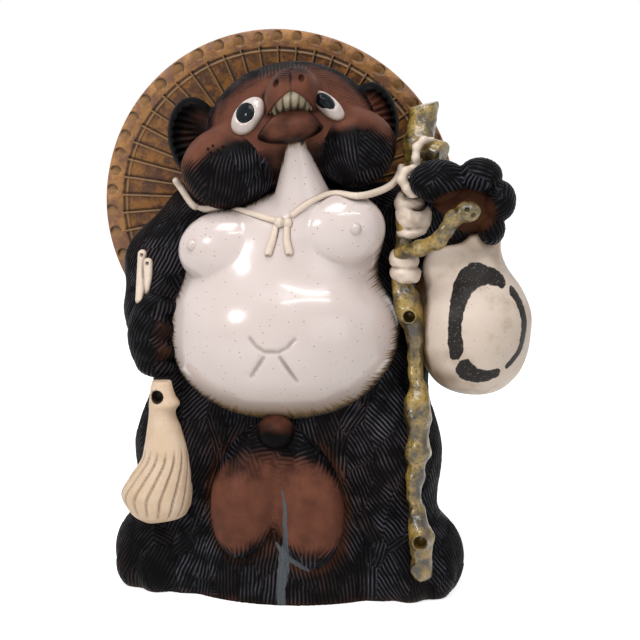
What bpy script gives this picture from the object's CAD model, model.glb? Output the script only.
import math

import bmesh
import bpy
import numpy as np
from mathutils import Matrix, Vector


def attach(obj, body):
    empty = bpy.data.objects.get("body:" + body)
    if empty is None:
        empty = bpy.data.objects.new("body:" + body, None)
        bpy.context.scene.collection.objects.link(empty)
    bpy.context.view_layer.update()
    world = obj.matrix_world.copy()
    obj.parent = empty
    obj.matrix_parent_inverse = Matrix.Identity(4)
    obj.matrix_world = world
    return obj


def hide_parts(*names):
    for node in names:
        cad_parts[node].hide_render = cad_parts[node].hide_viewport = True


# Looks of the tanuki figure: hollow stoneware with combed black slip, red-brown clay, white and olive glazes.
# Forms are worked out in millimetres as distances to a skin, meshed, and only then turned to metres.

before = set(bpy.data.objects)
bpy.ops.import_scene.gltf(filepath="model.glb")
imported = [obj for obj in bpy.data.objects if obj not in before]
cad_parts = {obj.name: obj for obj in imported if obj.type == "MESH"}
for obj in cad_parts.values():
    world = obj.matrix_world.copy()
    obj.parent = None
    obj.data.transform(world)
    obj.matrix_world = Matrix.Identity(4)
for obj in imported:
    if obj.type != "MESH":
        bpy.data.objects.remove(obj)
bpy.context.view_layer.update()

MM = 0.001

# Camera at the photograph's angle
CAMERA_BEARING = 7.0
CAMERA_RISE = 11.0
CAMERA_DISTANCE = 1500.0
CAMERA_AIM = np.array((20.8, 3.4, 212.0))
CAMERA_LENS = 101.4
SENSOR_WIDTH = 36

# Size of the mesh cells of each kind of skin
FUR_CELL = 1.15
BACK_CELL = 1.5
SLAB_CELL = 1.8
POUCH_CELL = 1.1
FACE_CELL = 1.0
GLAZE_CELL = 1.3
FINE_CELL = 0.8


# Distances to simple forms, in millimetres, less than 0 inside


def vec(*numbers):
    return np.array(numbers, np.float32)


def ball(p, centre, radii, turn=None):
    """An ellipsoid; turn has its axes as columns."""
    q = p - np.asarray(centre, np.float32)
    if turn is not None:
        q = q @ turn
    radii = np.asarray(radii, np.float32)
    q = q / radii
    near = np.sqrt((q * q).sum(1)) + 1e-9
    q = q / radii
    return near * (near - 1.0) / (np.sqrt((q * q).sum(1)) + 1e-9)


def rod(p, start, end, start_radius, end_radius):
    """A round rod that may taper, with round ends."""
    start, end = np.asarray(start, np.float32), np.asarray(end, np.float32)
    along = end - start
    share = np.clip((p - start) @ along / (along @ along), 0, 1)
    away = p - start - share[:, None] * along
    return np.sqrt((away * away).sum(1)) - start_radius - share * (end_radius - start_radius)


def blend(a, b, fillet):
    """The union of two forms with a fillet where they meet."""
    share = np.clip(0.5 + 0.5 * (b - a) / fillet, 0, 1)
    return b + (a - b) * share - fillet * share * (1 - share)


def carve(a, b, fillet):
    """Form a with form b cut out of it and the edge rounded."""
    return -blend(-a, b, fillet)


def chain(p, stations, fillet=6.0):
    """Rods through (x, y, z, radius) stations."""
    form = None
    for (ax, ay, az, ar), (bx, by, bz, br) in zip(stations, stations[1:]):
        link = rod(p, (ax, ay, az), (bx, by, bz), ar, br)
        form = link if form is None else blend(form, link, fillet)
    return form


def fade(low, high, value):
    share = np.clip((value - low) / (high - low), 0, 1)
    return share * share * (3 - 2 * share)


def curve_through(at, values, where):
    """A smooth curve through a few values, read off at many places."""
    at, values = np.asarray(at, np.float32), np.asarray(values, np.float32)
    slope = np.gradient(values, at).astype(np.float32)
    index = np.clip(np.searchsorted(at, where) - 1, 0, len(at) - 2)
    span = at[index + 1] - at[index]
    t = np.clip((where - at[index]) / span, 0, 1)
    low = values[index] * (1 + 2 * t) * (1 - t) ** 2 + slope[index] * span * t * (1 - t) ** 2
    high = values[index + 1] * t * t * (3 - 2 * t) - slope[index + 1] * span * t * t * (1 - t)
    return low + high


def lumps(p, size, seed=0):
    """Smooth noise from -1 to 1 with lumps about this size."""
    q = p / size + seed * 17.3
    cell = np.floor(q).astype(np.int64)
    t = (q - cell).astype(np.float32)
    t = t * t * (3 - 2 * t)
    total = np.zeros(len(p), np.float32)
    for corner in range(8):
        step = np.array((corner & 1, corner >> 1 & 1, corner >> 2))
        key = (cell + step) @ np.array((73856093, 19349663, 83492791)) & 0x7FFFFFFF
        key = (key ^ (key >> 13)) * 1274126177 & 0x7FFFFFFF
        weight = np.where(step == 1, t, 1 - t).prod(1)
        total += weight * ((key & 0xFFFF) / 32767.5 - 1)
    return total


def axes_of(rise_about_z, roll_about_y):
    """Axes of a piece that is turned about Z after it was rolled about Y, as columns."""
    c, s = math.cos(math.radians(rise_about_z)), math.sin(math.radians(rise_about_z))
    turn = np.array(((c, -s, 0), (s, c, 0), (0, 0, 1)))
    c, s = math.cos(math.radians(roll_about_y)), math.sin(math.radians(roll_about_y))
    return (turn @ np.array(((c, 0, s), (0, 1, 0), (-s, 0, c)))).astype(np.float32)


# The skin of a form as a closed mesh, by surface nets on a grid near the skin


def skin(form, low, high, cell):
    low, high = np.asarray(low, np.float32), np.asarray(high, np.float32)
    block = 4
    blocks = np.ceil((high - low) / (cell * block)).astype(int) + 1
    axes = [low[i] + cell * (block * np.arange(blocks[i]) + (block - 1) / 2) for i in range(3)]
    middles = np.stack(np.meshgrid(*axes, indexing="ij"), -1).reshape(-1, 3).astype(np.float32)
    coarse = form(middles).reshape(blocks)
    value = coarse.repeat(block, 0).repeat(block, 1).repeat(block, 2)
    reach = cell * block * 0.5 * math.sqrt(3) * 1.6 + 1.0
    spots = np.nonzero((np.abs(coarse) < reach).repeat(block, 0).repeat(block, 1).repeat(block, 2))
    value[spots] = form((low + cell * np.stack(spots, -1)).astype(np.float32))
    for axis in range(3):
        for end in (0, -1):
            edge = [slice(None)] * 3
            edge[axis] = end
            value[tuple(edge)] = np.maximum(value[tuple(edge)], 0.1 * cell)
    inside = value < 0
    count = sum(
        inside[i:i - 1 or None, j:j - 1 or None, k:k - 1 or None].astype(np.int8)
        for i in (0, 1) for j in (0, 1) for k in (0, 1)
    )
    cells = np.stack(np.nonzero((count > 0) & (count < 8)), -1)
    number = np.full(count.shape, -1)
    number[tuple(cells.T)] = np.arange(len(cells))
    place = np.zeros((len(cells), 3))
    hits = np.zeros(len(cells))
    for axis in range(3):
        for other in range(4):
            start = np.zeros(3, int)
            start[(axis + 1) % 3] = other & 1
            start[(axis + 2) % 3] = other >> 1
            end = start.copy()
            end[axis] = 1
            a = value[tuple((cells + start).T)]
            b = value[tuple((cells + end).T)]
            cross = (a < 0) != (b < 0)
            spot = start + np.zeros((len(cells), 3))
            spot[cross, axis] = a[cross] / (a[cross] - b[cross])
            place[cross] += spot[cross]
            hits += cross
    points = (low + cell * (cells + place / hits[:, None])).astype(np.float32)
    quads = []
    for axis in range(3):
        one, two = (axis + 1) % 3, (axis + 2) % 3
        a = np.take(inside, range(inside.shape[axis] - 1), axis)
        b = np.take(inside, range(1, inside.shape[axis]), axis)
        edges = np.stack(np.nonzero(a != b), -1)
        leaves = a[tuple(edges.T)]
        ring = []
        for back_one, back_two in ((1, 1), (0, 1), (0, 0), (1, 0)):
            shifted = edges.copy()
            shifted[:, one] -= back_one
            shifted[:, two] -= back_two
            ring.append(number[tuple(shifted.T)])
        ring = np.stack(ring, -1)
        ring[~leaves] = ring[~leaves][:, ::-1]
        quads.append(ring)
    for settle in range(2):
        gap, slope = slopes(form, points, cell * 0.5)
        steep = np.maximum((slope * slope).sum(1), 0.2)
        step = -(gap / steep)[:, None] * slope
        size = np.sqrt((step * step).sum(1))
        points = points + step * np.minimum(1, 0.5 * cell / np.maximum(size, 1e-9))[:, None]
    return points, np.concatenate(quads), slope / np.maximum(np.sqrt((slope * slope).sum(1)), 1e-6)[:, None]


def slopes(form, points, reach):
    """The distance, and how it grows in X, Y and Z."""
    gap = form(points)
    shift = reach * np.eye(3, dtype=np.float32)
    return gap, np.stack([(form(points + s) - gap) / reach for s in shift], -1)


def thin_out(points, quads, normals, hidden, block=6.0):
    """The skin with one point to a block where it is hidden, and faces of three or four corners."""
    key = np.round(points / block).astype(np.int64) @ np.array((1, 1000, 1000000))
    key = np.where(hidden, key, 10 ** 10 + np.arange(len(points)))
    which = np.unique(key, return_inverse=True)[1]
    count = np.bincount(which)
    points, normals = (
        np.stack([np.bincount(which, values[:, axis]) / count for axis in range(3)], -1).astype(np.float32)
        for values in (points, normals)
    )
    faces = []
    for face in which[quads].tolist():
        ring = [corner for place, corner in enumerate(face) if corner != face[place - 1]]
        if len(set(ring)) == len(ring) > 2:
            faces.append(ring)
    return points, faces, normals


IN_FRONT = -190.0


def first_touch(form, places):
    """Where lines from the front, at these sides and heights, meet a form."""
    spots = np.array([(x, IN_FRONT, z) for x, z in places], np.float32)
    for step in range(140):
        gap = form(spots)
        spots[:, 1] += np.clip(0.8 * gap, -2, 12)
    return spots


def make_piece(name, points, faces, material, values=None):
    points[:, 2] = np.maximum(points[:, 2], 0)
    mesh = bpy.data.meshes.new(name)
    mesh.from_pydata((points * MM).tolist(), [], faces if isinstance(faces, list) else faces.tolist())
    for title, numbers in (values or {}).items():
        numbers = np.asarray(numbers, float)
        kind = "FLOAT_VECTOR" if numbers.ndim == 2 else "FLOAT"
        field = "vector" if numbers.ndim == 2 else "value"
        mesh.attributes.new(title, kind, "POINT").data.foreach_set(field, numbers.ravel())
    mesh.shade_smooth()
    mesh.materials.append(material)
    piece = bpy.data.objects.new(name + "_skin", mesh)
    bpy.context.collection.objects.link(piece)
    return piece


def declare(piece, finish, *nodes):
    """The piece stands for these CAD nodes and takes its finish from this slot."""
    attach(piece, "root")
    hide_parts(*nodes)


# Nodes


def linear(colour):
    """An sRGB hex colour as linear RGBA."""
    parts = [int(colour[i:i + 2], 16) / 255 for i in (1, 3, 5)]
    return (*(c / 12.92 if c <= 0.04045 else ((c + 0.055) / 1.055) ** 2.4 for c in parts), 1.0)


def add(tree, kind, inputs=None, **settings):
    """A node with its settings; inputs are constants or other nodes' outputs, by socket name or number."""
    node = tree.nodes.new(kind)
    for title, value in settings.items():
        setattr(node, title, value)
    for socket, value in (inputs or {}).items():
        if isinstance(value, bpy.types.NodeSocket):
            tree.links.new(value, node.inputs[socket])
        else:
            node.inputs[socket].default_value = value
    return node


def shaped(piece, tree, inputs):
    """The piece after a node tree has shaped it, as a plain mesh."""
    modifier = piece.modifiers.new(tree.name, "NODES")
    modifier.node_group = tree
    for item in tree.interface.items_tree:
        if item.in_out == "INPUT" and item.name in inputs:
            modifier[item.identifier] = inputs[item.name]
    graph = bpy.context.evaluated_depsgraph_get()
    mesh = bpy.data.meshes.new_from_object(
        piece.evaluated_get(graph), preserve_all_data_layers=True, depsgraph=graph
    )
    piece.modifiers.clear()
    piece.data = mesh
    return piece


def start_material(name):
    material = bpy.data.materials.new(name)
    material.use_nodes = True
    material.node_tree.nodes.clear()
    return material, material.node_tree


def finish_material(tree, inputs):
    shader = add(tree, "ShaderNodeBsdfPrincipled", inputs)
    add(tree, "ShaderNodeOutputMaterial", {"Surface": shader.outputs["BSDF"]})


# Materials


def combed_slip(name, slip, worn, clay, clay_dark, roughness):
    """Iron-black slip with a satin gloss, combed through to red-brown clay, rubbed grey on the ridges."""
    material, tree = start_material(name)
    where = add(tree, "ShaderNodeTexCoord").outputs["Object"]
    across = add(tree, "ShaderNodeAttribute", attribute_name="comb_v").outputs["Fac"]
    stroke = add(tree, "ShaderNodeAttribute", attribute_name="stroke").outputs["Fac"]
    tone = add(tree, "ShaderNodeAttribute", attribute_name="tone").outputs["Fac"]
    mask = add(tree, "ShaderNodeAttribute", attribute_name="comb").outputs["Fac"]
    turns = add(tree, "ShaderNodeMath", {0: across, 1: 2 * math.pi}, operation="MULTIPLY").outputs[0]
    wave = add(tree, "ShaderNodeMath", {0: turns}, operation="COSINE").outputs[0]
    ridge = add(tree, "ShaderNodeMapRange", {"Value": wave, "From Min": -1.0, "From Max": 1.0}).outputs[0]
    # Patches where the slip is thin are about 14 mm across, its grain about 0.9 mm
    patches = add(tree, "ShaderNodeTexNoise", {"Vector": where, "Scale": 70.0, "Detail": 4.0}).outputs["Fac"]
    grain = add(tree, "ShaderNodeTexNoise", {"Vector": where, "Scale": 1100.0, "Detail": 2.0}).outputs["Fac"]
    rubbed = add(
        tree, "ShaderNodeMapRange", {"Value": patches, "From Min": 0.4, "From Max": 0.68, "To Min": 0.06}
    ).outputs[0]
    crest = add(tree, "ShaderNodeMath", {0: ridge, 1: 3.5}, operation="POWER").outputs[0]
    rub = add(tree, "ShaderNodeMath", {0: crest, 1: rubbed}, operation="MULTIPLY").outputs[0]
    rub = add(tree, "ShaderNodeMath", {0: rub, 1: stroke}, operation="MULTIPLY").outputs[0]
    rub = add(tree, "ShaderNodeMath", {0: rub, 1: mask}, operation="MULTIPLY").outputs[0]
    black = add(
        tree, "ShaderNodeMix", {"Factor": rub, 6: linear(slip), 7: linear(worn)}, data_type="RGBA"
    ).outputs[2]
    red = add(
        tree, "ShaderNodeMix", {"Factor": patches, 6: linear(clay_dark), 7: linear(clay)}, data_type="RGBA"
    ).outputs[2]
    shift = add(tree, "ShaderNodeMapRange", {"Value": patches, "To Min": -0.3, "To Max": 0.3}).outputs[0]
    bare = add(tree, "ShaderNodeMath", {0: tone, 1: shift}, operation="ADD").outputs[0]
    lines = add(tree, "ShaderNodeMapRange", {"Value": ridge, "To Min": -0.16, "To Max": 0.16}).outputs[0]
    bare = add(tree, "ShaderNodeMath", {0: lines, 1: mask, 2: bare}, operation="MULTIPLY_ADD").outputs[0]
    bare = add(
        tree,
        "ShaderNodeMapRange",
        {"Value": bare, "From Min": 0.12, "From Max": 0.88},
        interpolation_type="SMOOTHSTEP",
    ).outputs[0]
    colour = add(tree, "ShaderNodeMix", {"Factor": bare, 6: black, 7: red}, data_type="RGBA").outputs[2]
    # Grey filler in the crack, smooth and dull
    filler = add(tree, "ShaderNodeAttribute", attribute_name="filler").outputs["Fac"]
    filler = add(tree, "ShaderNodeMapRange", {"Value": filler, "From Min": 0.05, "From Max": 0.6}).outputs[0]
    grey = add(
        tree, "ShaderNodeMix", {"Factor": grain, 6: linear("#3C4044"), 7: linear("#666A6E")}, data_type="RGBA"
    ).outputs[2]
    colour = add(tree, "ShaderNodeMix", {"Factor": filler, 6: colour, 7: grey}, data_type="RGBA").outputs[2]
    height = add(tree, "ShaderNodeMath", {0: ridge, 1: mask}, operation="MULTIPLY").outputs[0]
    height = add(tree, "ShaderNodeMath", {0: grain, 1: 0.5, 2: height}, operation="MULTIPLY_ADD").outputs[0]
    relief = add(
        tree, "ShaderNodeBump", {"Height": height, "Strength": 0.55, "Distance": 0.0006}
    ).outputs["Normal"]
    gloss = add(
        tree, "ShaderNodeMapRange", {"Value": grain, "To Min": roughness - 0.08, "To Max": roughness + 0.1}
    ).outputs[0]
    finish_material(
        tree, {"Base Color": colour, "Roughness": gloss, "Normal": relief, "Specular IOR Level": 0.04}
    )
    return material


def white_glaze():
    """Feldspar glaze, thick and glossy, pinkish white with iron specks, stained brown at the fur's edge."""
    material, tree = start_material("white feldspar glaze")
    where = add(tree, "ShaderNodeTexCoord").outputs["Object"]
    edge = add(tree, "ShaderNodeAttribute", attribute_name="edge").outputs["Fac"]
    around = add(tree, "ShaderNodeAttribute", attribute_name="around").outputs["Fac"]
    stain = add(tree, "ShaderNodeAttribute", attribute_name="stain").outputs["Fac"]
    crease = add(tree, "ShaderNodeAttribute", attribute_name="crease").outputs["Fac"]
    clouds = add(tree, "ShaderNodeTexNoise", {"Vector": where, "Scale": 22.0, "Detail": 3.0}).outputs["Fac"]
    # Specks of iron, about 0.8 mm, one to a square of about 6 mm
    spots = add(
        tree, "ShaderNodeTexVoronoi", {"Vector": where, "Scale": 260.0, "Randomness": 1.0}, feature="F1"
    )
    speck = add(
        tree, "ShaderNodeMapRange", {"Value": spots.outputs["Distance"], "From Min": 0.06, "From Max": 0.15}
    ).outputs[0]
    chance = add(tree, "ShaderNodeSeparateColor", {"Color": spots.outputs["Color"]}).outputs[0]
    kept = add(tree, "ShaderNodeMath", {0: chance, 1: 0.42}, operation="LESS_THAN").outputs[0]
    speck = add(tree, "ShaderNodeMath", {0: 1.0, 1: speck}, operation="SUBTRACT").outputs[0]
    speck = add(tree, "ShaderNodeMath", {0: speck, 1: kept}, operation="MULTIPLY").outputs[0]
    white = add(
        tree,
        "ShaderNodeMix",
        {"Factor": clouds, 6: linear("#CFBEB8"), 7: linear("#E0D2CE")},
        data_type="RGBA",
    ).outputs[2]
    white = add(
        tree, "ShaderNodeMix", {"Factor": stain, 6: white, 7: linear("#867058")}, data_type="RGBA"
    ).outputs[2]
    shade = add(tree, "ShaderNodeMath", {0: crease, 1: 0.75}, operation="MULTIPLY").outputs[0]
    white = add(
        tree, "ShaderNodeMix", {"Factor": shade, 6: white, 7: linear("#6E5846")}, data_type="RGBA"
    ).outputs[2]
    # Hair strokes of slip run over the edge, about 1.3 mm apart and up to 11 mm long
    line = add(tree, "ShaderNodeCombineXYZ", {"X": around, "Y": edge}).outputs[0]
    line = add(tree, "ShaderNodeVectorMath", {0: line, 1: (0.75, 0.05, 1.0)}, operation="MULTIPLY").outputs[0]
    strokes = add(tree, "ShaderNodeTexNoise", {"Vector": line, "Scale": 1.0, "Detail": 2.0}).outputs["Fac"]
    reach = add(
        tree,
        "ShaderNodeMapRange",
        {"Value": strokes, "From Min": 0.4, "From Max": 0.72, "To Min": 0.2, "To Max": 11.0},
    ).outputs[0]
    past = add(tree, "ShaderNodeMath", {0: edge, 1: reach}, operation="SUBTRACT").outputs[0]
    brown = add(
        tree,
        "ShaderNodeMapRange",
        {"Value": past, "From Min": 9.0, "From Max": -1.0},
        interpolation_type="SMOOTHSTEP",
    ).outputs[0]
    black = add(tree, "ShaderNodeMapRange", {"Value": past, "From Min": 0.6, "From Max": -0.8}).outputs[0]
    colour = add(
        tree, "ShaderNodeMix", {"Factor": brown, 6: white, 7: linear("#85683A")}, data_type="RGBA"
    ).outputs[2]
    colour = add(
        tree, "ShaderNodeMix", {"Factor": black, 6: colour, 7: linear("#1D1815")}, data_type="RGBA"
    ).outputs[2]
    colour = add(
        tree, "ShaderNodeMix", {"Factor": speck, 6: colour, 7: linear("#4A3A32")}, data_type="RGBA"
    ).outputs[2]
    ripple = add(tree, "ShaderNodeTexNoise", {"Vector": where, "Scale": 60.0, "Detail": 2.0}).outputs["Fac"]
    relief = add(
        tree, "ShaderNodeBump", {"Height": ripple, "Strength": 0.12, "Distance": 0.002}
    ).outputs["Normal"]
    # The strokes of slip lie on the glaze and are dull
    dull = add(tree, "ShaderNodeMapRange", {"Value": black, "To Min": 0.2, "To Max": 0.7}).outputs[0]
    finish_material(
        tree,
        {
            "Base Color": colour,
            "Roughness": dull,
            "Normal": relief,
            "IOR": 1.5,
            "Coat Weight": 0.3,
            "Coat Roughness": 0.06,
        },
    )
    return material


def cream_slip(name, pale, warm, dirt, roughness):
    """White slip under a thin matt glaze, cream, with brown clay showing in the hollows and on thin edges."""
    material, tree = start_material(name)
    where = add(tree, "ShaderNodeTexCoord").outputs["Object"]
    hollow = add(tree, "ShaderNodeAttribute", attribute_name="hollow").outputs["Fac"]
    patches = add(tree, "ShaderNodeTexNoise", {"Vector": where, "Scale": 90.0, "Detail": 5.0}).outputs["Fac"]
    grain = add(tree, "ShaderNodeTexNoise", {"Vector": where, "Scale": 900.0, "Detail": 3.0}).outputs["Fac"]
    base = add(
        tree, "ShaderNodeMix", {"Factor": patches, 6: linear(warm), 7: linear(pale)}, data_type="RGBA"
    ).outputs[2]
    soil = add(tree, "ShaderNodeMapRange", {"Value": grain, "To Min": 0.6, "To Max": 1.3}).outputs[0]
    soil = add(tree, "ShaderNodeMath", {0: hollow, 1: soil}, operation="MULTIPLY", use_clamp=True).outputs[0]
    colour = add(
        tree, "ShaderNodeMix", {"Factor": soil, 6: base, 7: linear(dirt)}, data_type="RGBA"
    ).outputs[2]
    pits = add(tree, "ShaderNodeTexVoronoi", {"Vector": where, "Scale": 260.0}).outputs["Distance"]
    pit = add(tree, "ShaderNodeMapRange", {"Value": pits, "From Min": 0.1, "From Max": 0.05}).outputs[0]
    pit = add(tree, "ShaderNodeMath", {0: pit, 1: patches}, operation="MULTIPLY").outputs[0]
    colour = add(
        tree, "ShaderNodeMix", {"Factor": pit, 6: colour, 7: linear("#5B4630")}, data_type="RGBA"
    ).outputs[2]
    inside = add(tree, "ShaderNodeAttribute", attribute_name="inside").outputs["Fac"]
    colour = add(
        tree, "ShaderNodeMix", {"Factor": inside, 6: colour, 7: linear("#0B0807")}, data_type="RGBA"
    ).outputs[2]
    relief = add(
        tree, "ShaderNodeBump", {"Height": grain, "Strength": 0.25, "Distance": 0.0008}
    ).outputs["Normal"]
    finish_material(
        tree, {"Base Color": colour, "Roughness": roughness, "Normal": relief, "IOR": 1.5}
    )
    return material


def straw_clay():
    """Clay carved as straw: ochre wash rubbed off to brown, darker in the lines, matt."""
    material, tree = start_material("ochre washed clay")
    where = add(tree, "ShaderNodeTexCoord").outputs["Object"]
    line = add(tree, "ShaderNodeAttribute", attribute_name="line").outputs["Fac"]
    raised = add(tree, "ShaderNodeAttribute", attribute_name="raised").outputs["Fac"]
    patches = add(
        tree, "ShaderNodeTexNoise", {"Vector": where, "Scale": 80.0, "Detail": 7.0, "Roughness": 0.72}
    ).outputs["Fac"]
    grain = add(tree, "ShaderNodeTexNoise", {"Vector": where, "Scale": 420.0, "Detail": 4.0}).outputs["Fac"]
    dent = add(tree, "ShaderNodeAttribute", attribute_name="dent").outputs["Fac"]
    band = add(tree, "ShaderNodeAttribute", attribute_name="band").outputs["Fac"]
    ochre = add(
        tree,
        "ShaderNodeMapRange",
        {"Value": patches, "From Min": 0.42, "From Max": 0.6},
        interpolation_type="SMOOTHSTEP",
    ).outputs[0]
    colour = add(
        tree, "ShaderNodeMix", {"Factor": ochre, 6: linear("#563524"), 7: linear("#94622C")}, data_type="RGBA"
    ).outputs[2]
    tan = add(
        tree, "ShaderNodeMix", {"Factor": ochre, 6: linear("#7E563E"), 7: linear("#AC7A46")}, data_type="RGBA"
    ).outputs[2]
    colour = add(tree, "ShaderNodeMix", {"Factor": band, 6: colour, 7: tan}, data_type="RGBA").outputs[2]
    colour = add(
        tree, "ShaderNodeMix", {"Factor": dent, 6: colour, 7: linear("#80592C")}, data_type="RGBA"
    ).outputs[2]
    pale = add(
        tree, "ShaderNodeMapRange", {"Value": grain, "From Min": 0.55, "From Max": 0.75, "To Max": 0.45}
    ).outputs[0]
    colour = add(
        tree, "ShaderNodeMix", {"Factor": pale, 6: colour, 7: linear("#97704A")}, data_type="RGBA"
    ).outputs[2]
    lift = add(tree, "ShaderNodeMath", {0: raised, 1: 0.85}, operation="MULTIPLY").outputs[0]
    colour = add(
        tree, "ShaderNodeMix", {"Factor": lift, 6: colour, 7: linear("#94714A")}, data_type="RGBA"
    ).outputs[2]
    dark = add(tree, "ShaderNodeMapRange", {"Value": grain, "To Min": 0.5, "To Max": 1.1}).outputs[0]
    dark = add(tree, "ShaderNodeMath", {0: line, 1: dark}, operation="MULTIPLY", use_clamp=True).outputs[0]
    colour = add(
        tree, "ShaderNodeMix", {"Factor": dark, 6: colour, 7: linear("#22160F")}, data_type="RGBA"
    ).outputs[2]
    relief = add(
        tree, "ShaderNodeBump", {"Height": grain, "Strength": 0.5, "Distance": 0.001}
    ).outputs["Normal"]
    finish_material(tree, {"Base Color": colour, "Roughness": 0.55, "Normal": relief, "IOR": 1.5})
    return material


def olive_glaze():
    """Ash glaze over carved clay: olive-ochre, mottled, wet-looking, brown where it ran thin on edges."""
    material, tree = start_material("olive ash glaze")
    where = add(tree, "ShaderNodeTexCoord").outputs["Object"]
    hollow = add(tree, "ShaderNodeAttribute", attribute_name="hollow").outputs["Fac"]
    patches = add(tree, "ShaderNodeTexNoise", {"Vector": where, "Scale": 75.0, "Detail": 5.0}).outputs["Fac"]
    grain = add(tree, "ShaderNodeTexNoise", {"Vector": where, "Scale": 520.0, "Detail": 4.0}).outputs["Fac"]
    tone = add(
        tree,
        "ShaderNodeMapRange",
        {"Value": patches, "From Min": 0.35, "From Max": 0.65},
        interpolation_type="SMOOTHSTEP",
    ).outputs[0]
    colour = add(
        tree, "ShaderNodeMix", {"Factor": tone, 6: linear("#32270F"), 7: linear("#A0843F")}, data_type="RGBA"
    ).outputs[2]
    mottle = add(
        tree, "ShaderNodeMapRange", {"Value": grain, "From Min": 0.52, "From Max": 0.68, "To Max": 0.85}
    ).outputs[0]
    colour = add(
        tree, "ShaderNodeMix", {"Factor": mottle, 6: colour, 7: linear("#271E0C")}, data_type="RGBA"
    ).outputs[2]
    soil = add(tree, "ShaderNodeMath", {0: hollow, 1: 0.9}, operation="MULTIPLY", use_clamp=True).outputs[0]
    colour = add(
        tree, "ShaderNodeMix", {"Factor": soil, 6: colour, 7: linear("#1E140B")}, data_type="RGBA"
    ).outputs[2]
    relief = add(
        tree, "ShaderNodeBump", {"Height": grain, "Strength": 0.35, "Distance": 0.001}
    ).outputs["Normal"]
    finish_material(
        tree,
        {
            "Base Color": colour,
            "Roughness": 0.3,
            "Normal": relief,
            "IOR": 1.52,
            "Coat Weight": 0.4,
            "Coat Roughness": 0.12,
        },
    )
    return material


def black_glaze():
    """Glossy black glaze of the pupils."""
    material, tree = start_material("black glaze")
    where = add(tree, "ShaderNodeTexCoord").outputs["Object"]
    haze = add(tree, "ShaderNodeTexNoise", {"Vector": where, "Scale": 400.0}).outputs["Fac"]
    colour = add(
        tree, "ShaderNodeMix", {"Factor": haze, 6: linear("#0A0C0E"), 7: linear("#1A2226")}, data_type="RGBA"
    ).outputs[2]
    finish_material(tree, {"Base Color": colour, "Roughness": 0.08, "Specular IOR Level": 0.12})
    return material


def flask_glaze():
    """Cream glaze over brown clay, smudged, with a loose ring brushed in iron black."""
    material, tree = start_material("cream glaze with iron brushwork")
    where = add(tree, "ShaderNodeTexCoord").outputs["Object"]
    brush = add(tree, "ShaderNodeAttribute", attribute_name="brush").outputs["Fac"]
    hollow = add(tree, "ShaderNodeAttribute", attribute_name="hollow").outputs["Fac"]
    patches = add(tree, "ShaderNodeTexNoise", {"Vector": where, "Scale": 48.0, "Detail": 6.0}).outputs["Fac"]
    grain = add(tree, "ShaderNodeTexNoise", {"Vector": where, "Scale": 700.0, "Detail": 3.0}).outputs["Fac"]
    base = add(
        tree,
        "ShaderNodeMix",
        {"Factor": patches, 6: linear("#D2BEAC"), 7: linear("#E6D8CC")},
        data_type="RGBA",
    ).outputs[2]
    smudge = add(
        tree, "ShaderNodeMapRange", {"Value": patches, "From Min": 0.46, "From Max": 0.3, "To Max": 0.4}
    ).outputs[0]
    base = add(
        tree, "ShaderNodeMix", {"Factor": smudge, 6: base, 7: linear("#A5875C")}, data_type="RGBA"
    ).outputs[2]
    soil = add(tree, "ShaderNodeMath", {0: hollow, 1: 0.85}, operation="MULTIPLY", use_clamp=True).outputs[0]
    base = add(
        tree, "ShaderNodeMix", {"Factor": soil, 6: base, 7: linear("#6E5030")}, data_type="RGBA"
    ).outputs[2]
    # Brush stroke with dry edges, drawn about 0.7 mm in and out by its bristles
    bristle = add(tree, "ShaderNodeTexNoise", {"Vector": where, "Scale": 190.0, "Detail": 3.0}).outputs["Fac"]
    inked = add(tree, "ShaderNodeMath", {0: bristle, 1: 3.4, 2: brush}, operation="MULTIPLY_ADD").outputs[0]
    paint = add(tree, "ShaderNodeMapRange", {"Value": inked, "From Min": 1.5, "From Max": 2.1}).outputs[0]
    worn = add(
        tree, "ShaderNodeMapRange", {"Value": grain, "From Min": 0.32, "From Max": 0.4, "To Min": 0.85}
    ).outputs[0]
    paint = add(tree, "ShaderNodeMath", {0: paint, 1: worn}, operation="MULTIPLY").outputs[0]
    ink = add(
        tree,
        "ShaderNodeMix",
        {"Factor": patches, 6: linear("#070606"), 7: linear("#221B17")},
        data_type="RGBA",
    ).outputs[2]
    colour = add(tree, "ShaderNodeMix", {"Factor": paint, 6: base, 7: ink}, data_type="RGBA").outputs[2]
    pits = add(tree, "ShaderNodeTexVoronoi", {"Vector": where, "Scale": 210.0}).outputs["Distance"]
    pit = add(
        tree, "ShaderNodeMapRange", {"Value": pits, "From Min": 0.11, "From Max": 0.06, "To Max": 0.6}
    ).outputs[0]
    colour = add(
        tree, "ShaderNodeMix", {"Factor": pit, 6: colour, 7: linear("#4D3A28")}, data_type="RGBA"
    ).outputs[2]
    relief = add(
        tree, "ShaderNodeBump", {"Height": grain, "Strength": 0.2, "Distance": 0.001}
    ).outputs["Normal"]
    finish_material(
        tree, {"Base Color": colour, "Roughness": 0.4, "Normal": relief, "Specular IOR Level": 0.2}
    )
    return material


BLACK_SLIP = combed_slip("combed black slip", "#060506", "#62646F", "#55331F", "#2C1A14", 0.4)
BROWN_CLAY = combed_slip("red-brown clay with slip", "#080607", "#62636E", "#7E4E3D", "#432A22", 0.4)
WHITE_GLAZE = white_glaze()
CREAM_SLIP = cream_slip("cream slip", "#E2CDB6", "#CBA985", "#4A331E", 0.5)
CORD_SLIP = cream_slip("white cord slip", "#E8D8CA", "#D2BCA6", "#43301E", 0.45)
IVORY_GLAZE = cream_slip("ivory glaze", "#D2C8AE", "#B3A486", "#2A1E14", 0.35)
STRAW = straw_clay()
OLIVE = olive_glaze()
PUPIL = black_glaze()
FLASK_GLAZE = flask_glaze()


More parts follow.
